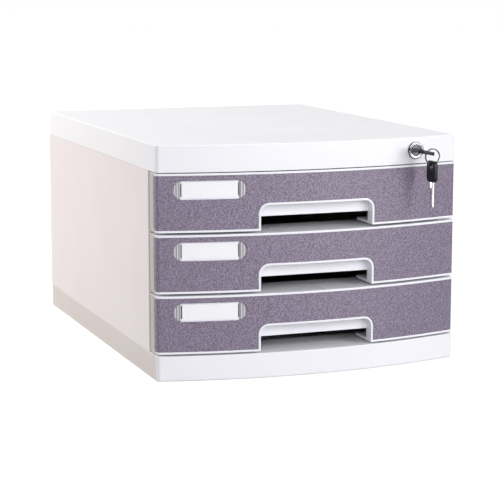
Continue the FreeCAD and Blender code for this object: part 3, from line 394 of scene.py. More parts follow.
@dataclass(frozen=True)
class ClearPlastic(Finish):
    """The clear label windows: see-through, with a glossy skin that shows at a slant from outside."""

    colour: Colour
    roughness: float = 0.06
    rougher: float = 0.06
    peel: float = 0.03
    peel_height: float = 0.2 * MM
    edge_width: float = 0.2 * MM
    refraction: float = 1.46

    def build(self) -> Material:
        """Makes the material.

        Returns:
            The new material.
        """
        material, tree, shader, place = self.start()
        skin = tree.group("moulded_skin", Vector=place)
        edge_wear_and_light = tree.group("worn_and_lit_edges", Vector=place, Radius=self.edge_width)
        normal = tree.bump(skin["Height"], self.peel, self.peel_height, Normal=edge_wear_and_light["Normal"])
        colour = (*self.colour, 1.0)
        high = self.roughness + self.rougher
        gloss = tree.spread(skin["Drift"], 0.0, 1.0, self.roughness, high)
        tree.fill(shader, {"Base Color": colour, "Roughness": gloss, "Normal": normal})
        clear = tree.add("ShaderNodeBsdfTransparent", {"Color": colour})
        slant = tree.add("ShaderNodeFresnel", {"IOR": self.refraction, "Normal": normal}).outputs[0]
        outside = tree.math("SUBTRACT", 1.0, tree.add("ShaderNodeNewGeometry").outputs["Backfacing"])
        share = tree.math("MULTIPLY", slant, outside)
        mix = tree.add("ShaderNodeMixShader", {0: share, 1: clear.outputs[0], 2: shader.outputs[0]})
        tree.join(mix.outputs[0], material.node_tree.nodes["Material Output"].inputs["Surface"])
        return material


@dataclass(frozen=True)
class RibbedPlastic(Finish):
    """The label windows' frosted ends: upright ribs whose grey and darker valleys are painted shade of the
    white moulding seen through clear plastic, and whose near-white edges are a painted highlight.
    """

    colour: Colour
    valley_colour: Colour
    edge_colour: Colour = (0.95, 0.95, 0.97)
    pitch: float = 2.4 * MM
    unevenness: float = 0.4
    rib: float = 0.5
    rib_height: float = 0.3 * MM
    rib_roughness: float = 0.18
    valley_roughness: float = 0.3
    edge: float = 0.7
    edge_width: float = 0.2 * MM

    def build(self) -> Material:
        """Makes the material.

        Returns:
            The new material.
        """
        material, tree, shader, place = self.start()
        scale = math.tau / (WAVE_RADIANS * self.pitch)
        ribs = tree.add(
            "ShaderNodeTexWave", {"Vector": place, "Scale": scale, "Distortion": self.unevenness},
            bands_direction="X",
        ).outputs["Fac"]
        edge_wear_and_light = tree.group("worn_and_lit_edges", Vector=place, Radius=self.edge_width)
        # Grey ribs and darker valleys paint the shaded white moulding behind clear plastic; the near-white
        # edge colour paints a highlight.
        tone = tree.blend(ribs, self.valley_colour, self.colour)
        edge_wear_and_light_share = tree.math("MULTIPLY", edge_wear_and_light["Mask"], self.edge)
        tree.fill(shader, {
            "Base Color": tree.blend(edge_wear_and_light_share, tone, self.edge_colour),
            "Roughness": tree.spread(ribs, 0.0, 1.0, self.valley_roughness, self.rib_roughness),
            "Normal": tree.bump(ribs, self.rib, self.rib_height, Normal=edge_wear_and_light["Normal"]),
        })
        return material


@dataclass(frozen=True)
class Card(Finish):
    """Blank label card with faint fibres."""

    colour: Colour
    fibre_shade: float = 0.94
    fibre: float = 0.1
    fibre_height: float = 0.1 * MM

    def build(self) -> Material:
        """Makes the material.

        Returns:
            The new material.
        """
        material, tree, shader, place = self.start()
        fibres = tree.noise(place, 1500.0, 6.0, Roughness=0.8)
        darker = tuple(part * self.fibre_shade for part in self.colour)
        tree.fill(shader, {
            "Base Color": tree.blend(fibres, self.colour, darker),
            "Roughness": tree.spread(fibres, 0.2, 0.8, 0.75, 0.9),
            "Normal": tree.bump(fibres, self.fibre, self.fibre_height),
        })
        return material


FINISHES = (
    MouldedPlastic("cool_white_plastic", (0.875, 0.87, 0.905), (0.855, 0.853, 0.89)),
    MouldedPlastic("warm_grey_plastic", (0.82, 0.755, 0.765), (0.80, 0.735, 0.745), roughness=0.34),
    MouldedPlastic("rim_white_plastic", (0.88, 0.875, 0.92), (0.86, 0.86, 0.905), roughness=0.28),
    # The base's side faces: its white plastic painted darker and warmer as shade.
    MouldedPlastic("base_side_painted_shade", (0.68, 0.625, 0.60), (0.66, 0.605, 0.58)),
    # The drawer fronts' outer side faces: their white plastic painted a dark warm grey as shade.
    MouldedPlastic("front_end_painted_shade", (0.52, 0.47, 0.42), (0.49, 0.44, 0.40), roughness=0.3),
    MouldedPlastic("tray_plastic", (0.62, 0.61, 0.62), (0.59, 0.58, 0.59), peel=0.08),
    MouldedPlastic("guide_plastic", (0.70, 0.70, 0.71), (0.67, 0.67, 0.68), roughness=0.4),
    MouldedPlastic(
        "black_bow_plastic", (0.008, 0.008, 0.009), (0.014, 0.014, 0.016),
        roughness=0.2, edge=0.05, edge_colour=(0.12, 0.12, 0.13), shine=0.25,
    ),
    MouldedPlastic(
        "pad_rubber", (0.03, 0.03, 0.03), (0.045, 0.045, 0.045),
        roughness=0.75, peel=0.3, edge_colour=(0.1, 0.1, 0.1),
    ),
    GrainedPlastic("grained_facing", (0.272, 0.224, 0.314), (0.112, 0.084, 0.138)),
    # polished_plate's near-black edge tone paints a dark reflection round the lock face's edges.
    Metal(
        "polished_plate", (0.6, 0.6, 0.63), (0.46, 0.46, 0.49), roughness=0.16, edge=1.3, edge_tone=0.06,
    ),
    # shaded_plate: near-black metal on the lock's rolled edge, a painted dark reflection.
    Metal("shaded_plate", (0.06, 0.06, 0.07), (0.04, 0.04, 0.05), edge=0.0),
    # Dark bluish metal for the plug's end: a painted dark reflection and shade.
    Metal("plug_painted_reflection", (0.2, 0.2, 0.25), (0.12, 0.12, 0.16), roughness=0.25, edge_tone=0.4),
    Metal("zinc_steel", (0.62, 0.62, 0.63), (0.48, 0.48, 0.5), roughness=0.3),
    Metal("key_steel", (0.70, 0.70, 0.71), (0.5, 0.5, 0.52), roughness=0.22),
    Metal("ring_wire", (0.16, 0.16, 0.17), (0.1, 0.1, 0.11)),
    ClearPlastic("clear_window", (0.995, 0.995, 1.0)),
    # ribbed_end: grey and darker valleys painted as shade, near-white edges a painted highlight.
    RibbedPlastic("ribbed_end", (0.66, 0.64, 0.67), (0.26, 0.25, 0.27)),
    Card("blank_card", (0.95, 0.94, 0.95)),
)


def finish_of(node: str) -> str:
    """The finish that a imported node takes, by its name."""
    rules = (
        ("_tray", "tray_plastic"), ("_drawer_front", "rim_white_plastic"), ("_facing", "grained_facing"),
        ("_label_window", "clear_window"), ("_label_card", "blank_card"), ("side_panel", "warm_grey_plastic"),
        ("back_panel", "warm_grey_plastic"), ("_bow", "black_bow_plastic"), ("rubber_pads", "pad_rubber"),
        ("bar_guides", "guide_plastic"), ("lock_housing", "polished_plate"), ("lock_plug", "polished_plate"),
        ("top_cover", "cool_white_plastic"), ("base", "cool_white_plastic"),
    )
    return next((finish for ending, finish in rules if node.endswith(ending)), "zinc_steel")


def dress(piece: Object, material: str) -> None:
    """Gives every face of a piece one finish."""
    piece.data.materials.clear()
    piece.data.materials.append(bpy.data.materials[material])


def finish_piece(
    shape: BMesh, name: str, materials: Sequence[str], body: str,
    stands_for: Sequence[str] = (), sharp: float = 32.0,
) -> Object:
    """Turns a finished shape into a smooth, dressed piece that rides on a body.

    Args:
        shape: the piece's shape in place, which is freed here.
        name: the piece's name.
        materials: finishes, in the order of the faces' material numbers.
        body: the body that it rides on.
        stands_for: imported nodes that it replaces.
        sharp: edges with a larger angle in degrees stay crisp.

    Returns:
        The new piece.
    """
    bmesh.ops.remove_doubles(shape, verts=shape.verts, dist=WELD)
    bmesh.ops.recalc_face_normals(shape, faces=shape.faces)
    limit = math.radians(sharp)
    for face in shape.faces:
        face.smooth = True
    for edge in shape.edges:
        edge.smooth = len(edge.link_faces) == 2 and edge.calc_face_angle(0.0) < limit
    open_edges = sum(1 for edge in shape.edges if len(edge.link_faces) != 2)
    flat = bpy.data.meshes.new(name)
    shape.to_mesh(flat)
    shape.free()
    piece = bpy.data.objects.new(name, flat)
    bpy.context.scene.collection.objects.link(piece)
    weighted = piece.modifiers.new("weighted_normals", "WEIGHTED_NORMAL")
    weighted.keep_sharp = True
    evaluated = piece.evaluated_get(bpy.context.evaluated_depsgraph_get())
    piece.data = bpy.data.meshes.new_from_object(evaluated)
    piece.modifiers.clear()
    bpy.data.meshes.remove(flat)
    piece.data.name = name
    for material in materials:
        piece.data.materials.append(bpy.data.materials[material])
    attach(piece, body)
    if stands_for:
        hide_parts(*stands_for)
    LOG.info("%s: %d faces, %d open edges, rides on %s", name, len(piece.data.polygons), open_edges, body)
    return piece


def cut_across(shape: BMesh, faces: Iterable[BMFace], axis: int, places: Iterable[float]) -> list[BMFace]:
    """Cuts faces with planes across one axis.

    Args:
        shape: the shape.
        faces: the faces to cut.
        axis: 0, 1 or 2 for X, Y or Z.
        places: where the planes stand along that axis.

    Returns:
        The faces that came of the cut ones.
    """
    normal = Vector((0.0, 0.0, 0.0))
    normal[axis] = 1.0
    kept = list(faces)
    for place in places:
        edges = {edge for face in kept for edge in face.edges}
        verts = {vert for face in kept for vert in face.verts}
        cut = bmesh.ops.bisect_plane(
            shape, geom=[*verts, *edges, *kept], dist=WELD / 10, plane_co=normal * place, plane_no=normal,
        )
        kept = [item for item in cut["geom"] if isinstance(item, BMFace)]
    return kept


def thicken(shape: BMesh, depth: Vector) -> None:
    """Gives a flat sheet its thickness along a vector.

    Args:
        shape: the sheet.
        depth: from its first side to its second.
    """
    grown = bmesh.ops.extrude_face_region(shape, geom=shape.faces[:])
    moved = [item for item in grown["geom"] if isinstance(item, BMVert)]
    bmesh.ops.translate(shape, verts=moved, vec=depth)
    bmesh.ops.recalc_face_normals(shape, faces=shape.faces)


def soften(shape: BMesh, edges: Iterable[BMEdge], width: float, segments: int = 2) -> None:
    """Bevels some edges roundly."""
    bmesh.ops.bevel(
        shape, geom=list(edges), offset=width, offset_type="OFFSET", segments=segments, profile=0.5,
        affect="EDGES", clamp_overlap=True, material=-1,
    )


def corners_of(shape: BMesh, angle: float = 60.0) -> list[BMEdge]:
    """The edges where two faces meet at a larger angle than this, in degrees."""
    limit = math.radians(angle)
    return [edge for edge in shape.edges if len(edge.link_faces) == 2 and edge.calc_face_angle(0.0) > limit]


def round_loop(shape: BMesh, width: float, height: float, radius: float, steps: int = 12) -> list[BMVert]:
    """An upright rounded rectangle in the X-Z plane round the origin, from a circle drawn apart.

    Args:
        shape: the shape that the loop is added to.
        width: along X.
        height: along Z.
        radius: of its corners.
        steps: edges in each corner.

    Returns:
        The loop's vertices.
    """
    turn = Matrix.Rotation(math.pi / 2, 4, "X") @ Matrix.Rotation(math.pi / (4 * steps), 4, "Z")
    made = bmesh.ops.create_circle(shape, segments=4 * steps, radius=radius, matrix=turn)["verts"]
    for vert in made:
        vert.co.x += math.copysign(max(width / 2 - radius, 0.0), vert.co.x)
        vert.co.z += math.copysign(max(height / 2 - radius, 0.0), vert.co.z)
    return made


def outline(radius: float, start: float, points: Points) -> Points:
    """A stretch of a lathe's profile, from millimetre steps out from a radius and behind a start."""
    return tuple((radius + out * MM, start + depth * MM) for out, depth in points)


def lathe(shape: BMesh, profile: Sequence[tuple[float, float]], steps: int) -> None:
    """Spins a profile of radius and depth pairs once round the Y axis.

    Args:
        shape: the empty shape that the profile is drawn in.
        profile: the pairs, in order.
        steps: facets round the axis.
    """
    verts = [shape.verts.new((radius, depth, 0.0)) for radius, depth in profile]
    edges = [shape.edges.new(pair) for pair in zip(verts, verts[1:])]
    if profile[0][0] > 0.0 and profile[-1][0] > 0.0:
        edges.append(shape.edges.new((verts[-1], verts[0])))
    bmesh.ops.spin(
        shape, geom=[*verts, *edges], cent=(0.0, 0.0, 0.0), axis=(0.0, 1.0, 0.0), dvec=(0.0, 0.0, 0.0),
        angle=math.tau, steps=steps, use_merge=True, use_duplicate=False,
    )
    bmesh.ops.remove_doubles(shape, verts=shape.verts, dist=WELD)
    bmesh.ops.recalc_face_normals(shape, faces=shape.faces)


def lay(shape: BMesh, place: Matrix) -> None:
    """Moves a whole shape to its place."""
    bmesh.ops.transform(shape, matrix=place, verts=shape.verts)


def body_of(node: str) -> str:
    """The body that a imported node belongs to."""
    return next(body for body, members in frame["record"]["behaviour"]["bodies"].items() if node in members)


def axis_place(joint: str) -> Vector:
    """A point on a turning joint's axis, from the record."""
    rows = frame["record"]["behaviour"]["joints"]
    return next(Vector(row["pos_m"]) for row in rows if row["name"] == joint)


@dataclass(frozen=True)
class Bow:
    """The arc of the bowed fronts, seen from above."""

    half_width: float = 150.0 * MM
    rise: float = 21.0 * MM
    corner_y: float = -184.5 * MM

    @property
    def radius(self) -> float:
        """The arc's radius."""
        return (self.half_width**2 + self.rise**2) / (2.0 * self.rise)

    def y(self, x: float, depth: float) -> float:
        """The surface's y at x, a given depth behind it."""
        centre = self.corner_y - self.rise + self.radius
        return centre - math.sqrt((self.radius - depth) ** 2 - x * x)


BOW = Bow()


@dataclass(frozen=True)
class MouldedShell:
    """A moulding whose packed surface is carried over, merged and shaded smoothly along its bow."""

    node: str
    finish: str
    slot: str
    end_finish: str = ""
    end_at: float = 149.9 * MM

    def build(self) -> Object:
        """Builds the shell.

        Returns:
            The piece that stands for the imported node.
        """
        shape = bmesh.new()
        shape.from_mesh(NODES[self.node].data)
        bmesh.ops.remove_doubles(shape, verts=shape.verts, dist=WELD)
        bmesh.ops.dissolve_degenerate(shape, edges=shape.edges, dist=WELD)
        finishes = [self.finish]
        # Faces beyond end_at, the moulding's outer ends, take end_finish, a darker colour painted as shade.
        if self.end_finish:
            finishes.append(self.end_finish)
            for face in shape.faces:
                face.material_index = int(abs(face.calc_center_median().x) > self.end_at)
        name = f"{self.node}_moulding"
        return finish_piece(shape, name, finishes, body_of(self.node), [self.node])


@dataclass(frozen=True)
class LabelHolder:
    """One drawer's label: a clear window with ribbed ends and card slots, and the blank card behind it."""

    level: str
    sunk: float = 0.9 * MM
    thickness: float = 0.7 * MM
    card_width: float = 50.5 * MM
    card_height: float = 15.0 * MM
    card_round: float = 0.6 * MM
    card_thickness: float = 0.35 * MM
    card_gap: float = 0.05 * MM
    slot_width: float = 1.4 * MM
    edge: float = 0.28 * MM
    bend_step: float = 4.0 * MM

    def build(self) -> list[Object]:
        """Builds the window and the card.

        Returns:
            Both pieces.
        """
        low, high = (Vector(corner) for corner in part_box(f"{self.level}_drawer_label_window"))
        middle = (low + high) / 2
        return [self.make_window(high - low, middle), self.make_card(middle)]

    def bends(self, reach: float) -> list[float]:
        """Where a flat piece is cut so that it can follow the bow."""
        count = int(reach / self.bend_step)
        return [self.bend_step * number for number in range(-count, count + 1)]

    def bend(self, shape: BMesh, middle: Vector, sunk: float) -> None:
        """Lays a flat piece on the bow, at a depth behind its surface.

        Args:
            shape: the piece, flat round the origin.
            middle: the middle of the label.
            sunk: how deep its front lies.
        """
        bmesh.ops.translate(shape, verts=shape.verts, vec=(middle.x, 0.0, middle.z))
        for vert in shape.verts:
            vert.co.y = BOW.y(vert.co.x, sunk + vert.co.y)

    def make_window(self, size: Vector, middle: Vector) -> Object:
        """The stadium-shaped window with its slots.

        Args:
            size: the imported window's width, depth and height.
            middle: its middle.

        Returns:
            The window.
        """
        shape = bmesh.new()
        loop = round_loop(shape, size.x, size.z, size.z / 2)
        bmesh.ops.contextual_create(shape, geom=loop)
        near = self.card_width / 2
        far = near + self.slot_width
        rise = self.card_height / 2
        cut_across(shape, shape.faces, 0, [*self.bends(near), -far, -near, near, far])
        cut_across(shape, shape.faces, 2, (-rise, rise))
        spots = [(face, face.calc_center_median()) for face in shape.faces]
        slots = [face for face, spot in spots if near < abs(spot.x) < far and abs(spot.z) < rise]
        bmesh.ops.delete(shape, geom=slots, context="FACES")
        thicken(shape, Vector((0.0, self.thickness, 0.0)))
        front = [edge for edge in corners_of(shape) if all(vert.co.y < self.edge / 2 for vert in edge.verts)]
        soften(shape, front, self.edge)
        # The ends beyond the slots take the ribbed finish, with its painted shade and highlight.
        for face in shape.faces:
            face.material_index = int(abs(face.calc_center_median().x) > far - self.edge)
        self.bend(shape, middle, self.sunk)
        name = f"{self.level}_drawer_label_lens"
        node = f"{self.level}_drawer_label_window"
        finishes = ["clear_window", "ribbed_end"]
        return finish_piece(shape, name, finishes, f"{self.level}_drawer", [node])

    def make_card(self, middle: Vector) -> Object:
        """The blank card that lies behind the window.

        Args:
            middle: the window's middle.

        Returns:
            The card.
        """
        shape = bmesh.new()
        loop = round_loop(shape, self.card_width, self.card_height, self.card_round, steps=3)
        bmesh.ops.contextual_create(shape, geom=loop)
        cut_across(shape, shape.faces, 0, self.bends(self.card_width / 2))
        thicken(shape, Vector((0.0, self.card_thickness, 0.0)))
        self.bend(shape, middle, self.sunk + self.thickness + self.card_gap)
        name = f"{self.level}_drawer_blank_card"
        node = f"{self.level}_drawer_label_card"
        return finish_piece(shape, name, ["blank_card"], f"{self.level}_drawer", [node])


@dataclass(frozen=True)
class CamLock:
    """The lock as it is seen from outside: a bevelled face with a turned groove, and the dished plug.

    Its points are stretches of the two turned profiles, in the millimetre steps that outline takes.
    """

    flange_radius: float = 8.0 * MM
    flange: float = 1.6 * MM
    barrel_radius: float = 6.3 * MM
    barrel_depth: float = 23.6 * MM
    bore: float = 5.06 * MM
    bore_mouth: Points = ((0.0, 0.3), (0.12, 0.08), (0.3, 0.0))
    groove_radius: float = 6.35 * MM
    groove: Points = ((-0.3, 0.0), (-0.18, 0.08), (-0.1, 0.55), (0.1, 0.55), (0.18, 0.08), (0.32, 0.0))
    rolled_edge: Points = ((-0.75, 0.02), (-0.35, 0.14), (-0.1, 0.42), (0.0, 0.8))
    rolled_width: float = 0.7 * MM
    back_edge: Points = ((0.0, -0.15), (-0.12, 0.0))
    face_facets: int = 72
    plug_radius: float = 5.0 * MM
    plug_sunk: float = 0.3 * MM
    plug_depth: float = 23.8 * MM
    plug_facets: int = 64
    dish: Points = ((0.0, 0.25), (-0.2, 0.0), (-0.55, 0.0), (-0.85, 0.3))
    dish_depth: float = 0.55 * MM
    end_depth: float = 1.0 * MM
    keyway: tuple[float, float, float] = (6.0 * MM, 2.2 * MM, 20.2 * MM)
    drive_width: float = 7.0 * MM
    drive_length: float = 2.1 * MM

    def place(self) -> Matrix:
        """The lock's own frame: depth along +Y from its face."""
        return Matrix.Translation(LOCK_SEAT - Vector((0.0, self.flange, 0.0)))

    def build(self) -> list[Object]:
        """Builds the lock.

        Returns:
            The housing and the plug.
        """
        return [self.make_housing(), self.make_plug()]

    def make_housing(self) -> Object:
        """The face with its rolled edge and groove, and the barrel behind it.

        Returns:
            The housing.
        """
        profile = [
            (self.bore, self.barrel_depth), *outline(self.bore, 0.0, self.bore_mouth),
            *outline(self.groove_radius, 0.0, self.groove),
            *outline(self.flange_radius, 0.0, self.rolled_edge),
            *outline(self.flange_radius, self.flange, self.back_edge),
            (self.barrel_radius, self.flange), (self.barrel_radius, self.barrel_depth),
        ]
        shape = bmesh.new()
        lathe(shape, profile, self.face_facets)
        # The rolled edge round the flat face takes the near-black plate, a painted dark reflection.
        flat_radius = self.flange_radius - self.rolled_width
        for face in shape.faces:
            spot = face.calc_center_median()
            face.material_index = int(math.hypot(spot.x, spot.z) > flat_radius and spot.y < self.flange)
        lay(shape, self.place())
        plates = ["polished_plate", "shaded_plate"]
        return finish_piece(shape, "lock_face", plates, "casing", ["lock_housing"])

    def make_plug(self) -> Object:
        """The plug: a dished end with the keyway cut into it.

        Returns:
            The plug.
        """
        wide, high, deep = self.keyway
        start, end_at = self.plug_sunk, self.plug_sunk + self.end_depth
        profile = [
            (0.0, self.plug_depth), (self.plug_radius, self.plug_depth),
            *outline(self.plug_radius, start, self.dish), (0.0, start + self.dish_depth),
        ]
        shape = bmesh.new()
        lathe(shape, profile, self.plug_facets)
        lay(shape, Matrix.Rotation(math.pi / self.plug_facets, 4, "Y"))
        end = [face for face in shape.faces if face.calc_center_median().y < end_at]
        end = cut_across(shape, end, 0, (-wide / 2, wide / 2))
        end = cut_across(shape, end, 2, (-high / 2, high / 2))
        spots = [(face, face.calc_center_median()) for face in end]
        slot = [
            face for face, spot in spots
            if abs(spot.x) < wide / 2 and abs(spot.z) < high / 2 and spot.y < end_at
        ]
        bmesh.ops.inset_region(shape, faces=slot, thickness=0.0, depth=start - deep)
        lay(shape, KEY_TURN)
        # The plug's dished end and keyway take the dark bluish plate, a painted reflection and shade.
        for face in shape.faces:
            face.material_index = int(face.calc_center_median().y < end_at)
        middle = Vector((0.0, self.plug_depth + self.drive_length / 2, 0.0))
        size = Matrix.Diagonal((self.drive_width, self.drive_length, self.drive_width, 1.0))
        bmesh.ops.create_cube(shape, size=1.0, matrix=Matrix.Translation(middle) @ size)
        lay(shape, self.place())
        plates = ["polished_plate", "plug_painted_reflection"]
        return finish_piece(shape, "lock_plug_end", plates, "lock_core", ["lock_plug"])


@dataclass(frozen=True)
class Key:
    """A key: its moulded bow with a raised rim and hole, and its cut blade with a groove along it.

    In its own frame Y runs along the blade from the bow's shoulder, and X runs across it. The cuts are
    shares of the blade's length from its tip and of their greatest depth.
    """

    prefix: str
    body: str
    hole: Vector
    turn: Matrix
    bow_width: float = 17.0 * MM
    bow_length: float = 20.0 * MM
    bow_thickness: float = 3.3 * MM
    bow_round: float = 4.5 * MM
    hole_radius: float = 3.5 * MM
    hole_margin: float = 2.2 * MM
    rim_width: float = 0.7 * MM
    rim_slope: float = 0.2 * MM
    rim_height: float = 0.35 * MM
    bow_edge: float = 0.45 * MM
    blade_width: float = 5.6 * MM
    blade_length: float = 24.7 * MM
    blade_thickness: float = 1.8 * MM
    tang: float = 1.0 * MM
    tip_share: float = 0.35
    cut_depth: float = 1.5 * MM
    cuts: Points = ((0.10, 0.0), (0.20, 0.7), (0.30, 0.3), (0.40, 1.0), (0.52, 0.5), (0.64, 0.9), (0.74, 0.0))
    groove_sides: tuple[float, float] = (0.25 * MM, 1.35 * MM)
    groove_share: float = 0.88
    groove_slope: float = 0.12 * MM
    groove_depth: float = 0.35 * MM
    blade_edge: float = 0.1 * MM
    touch: float = 0.01 * MM

    @property
    def place(self) -> Matrix:
        """Where the key's own frame stands, with its hole's middle in place."""
        shoulder = Vector((0.0, self.bow_length - self.hole_margin - self.hole_radius, 0.0))
        return Matrix.Translation(self.hole) @ self.turn @ Matrix.Translation(shoulder)

    def build(self) -> list[Object]:
        """Builds the key.

        Returns:
            The bow and the blade.
        """
        return [self.make_bow(), self.make_blade()]

    def make_bow(self) -> Object:
        """The moulded bow with its rim and its hole.

        Returns:
            The bow.
        """
        shape = bmesh.new()
        rim = round_loop(shape, self.bow_width, self.bow_length, self.bow_round, steps=10)
        bmesh.ops.translate(shape, verts=rim, vec=(0.0, 0.0, -self.bow_length / 2))
        hole = round_loop(shape, 0.0, 0.0, self.hole_radius, steps=10)
        hole_z = self.hole_margin + self.hole_radius - self.bow_length
        bmesh.ops.translate(shape, verts=hole, vec=(0.0, 0.0, hole_z))
        bmesh.ops.bridge_loops(shape, edges=shape.edges[:])
        bmesh.ops.translate(shape, verts=shape.verts, vec=(0.0, -self.bow_thickness / 2, 0.0))
        thicken(shape, Vector((0.0, self.bow_thickness, 0.0)))
        sides = [face for face in shape.faces if abs(face.normal.y) > 0.9]
        for way in (-1, 1):
            side = [face for face in sides if face.normal.y * way > 0]
            bmesh.ops.inset_region(shape, faces=side, thickness=self.rim_width, depth=0.0)
            bmesh.ops.inset_region(shape, faces=side, thickness=self.rim_slope, depth=-self.rim_height)
        soften(shape, self.rims(shape, 1, self.bow_thickness), self.bow_edge, segments=3)
        lay(shape, self.place @ Matrix.Rotation(-math.pi / 2, 4, "X"))
        node = f"{self.prefix}_bow"
        return finish_piece(shape, f"{node}_moulded", ["black_bow_plastic"], self.body, [node])

    def rims(self, shape: BMesh, axis: int, thickness: float) -> list[BMEdge]:
        """The corner edges that lie in one of a flat shape's two sides."""
        return [
            edge for edge in corners_of(shape)
            if all(abs(abs(vert.co[axis]) - thickness / 2) < self.touch for vert in edge.verts)
        ]

    def make_blade(self) -> Object:
        """The blade with its cuts on one edge and a groove along each side.

        Returns:
            The blade.
        """
        half, length = self.blade_width / 2, self.blade_length
        tip = self.blade_width * self.tip_share
        corners = [
            (half - tip, length), (tip - half, length),
            *((self.cut_depth * depth - half, length * (1.0 - share)) for share, depth in self.cuts),
            (-half, -self.tang), (half, -self.tang), (half, length - tip),
        ]
        shape = bmesh.new()
        verts = [shape.verts.new((x, y, -self.blade_thickness / 2)) for x, y in corners]
        bmesh.ops.contextual_create(shape, geom=verts)
        near, far = self.groove_sides
        groove_end = length * self.groove_share
        cut_across(shape, shape.faces, 0, (near, far))
        cut_across(shape, shape.faces, 1, (groove_end,))
        thicken(shape, Vector((0.0, 0.0, self.blade_thickness)))
        for way in (-1, 1):
            spots = [(face, face.calc_center_median()) for face in shape.faces if face.normal.z * way > 0.9]
            strip = [face for face, spot in spots if near < spot.x < far and spot.y < groove_end]
            bmesh.ops.inset_region(shape, faces=strip, thickness=self.groove_slope, depth=-self.groove_depth)
        rims = [
            edge for edge in self.rims(shape, 2, self.blade_thickness)
            if all(len(face.verts) > 3 for face in edge.link_faces)
        ]
        soften(shape, rims, self.blade_edge, segments=1)
        lay(shape, self.place)
        node = f"{self.prefix}_blade"
        return finish_piece(shape, f"{node}_cut", ["key_steel"], self.body, [node])


@dataclass(frozen=True)
class SplitRing:
    """The split ring: two flat turns of sprung wire, side by side, with a step from one to the other."""

    radius: float = 7.1 * MM
    wire: float = 0.31 * MM
    wire_sides: int = 12
    flatness: float = 2.0
    pitch: float = 0.64 * MM
    step_turn: float = 40.0
    flat_turn: float = 315.0
    arc_step: float = 5.0
    seam_turn: float = 40.0

    def build(self) -> Object:
        """Spins the wire's section round once, steps it aside and spins it round again.

        Returns:
            The ring.
        """
        shape = bmesh.new()
        flat = Matrix.Diagonal((self.flatness, 1.0, 1.0, 1.0))
        section = Matrix.Translation((self.radius, -self.pitch / 2, 0.0)) @ flat
        bmesh.ops.create_circle(
            shape, cap_ends=True, segments=self.wire_sides, radius=self.wire, matrix=section,
        )
        end = [*shape.verts, *shape.edges, *shape.faces]
        for angle, climb in ((self.flat_turn, 0.0), (self.step_turn, self.pitch), (self.flat_turn, 0.0)):
            steps = round(angle / self.arc_step)
            end = bmesh.ops.spin(
                shape, geom=end, cent=(0.0, 0.0, 0.0), axis=(0.0, 1.0, 0.0), dvec=(0.0, climb / steps, 0.0),
                angle=math.radians(angle), steps=steps, use_merge=False, use_duplicate=False,
            )["geom_last"]
        seam = Matrix.Rotation(math.radians(self.seam_turn), 4, "Y")
        lay(shape, Matrix.Translation(RING_MIDDLE) @ seam)
        return finish_piece(shape, "split_ring", ["ring_wire"], "key_ring", ["key_ring"], sharp=50.0)


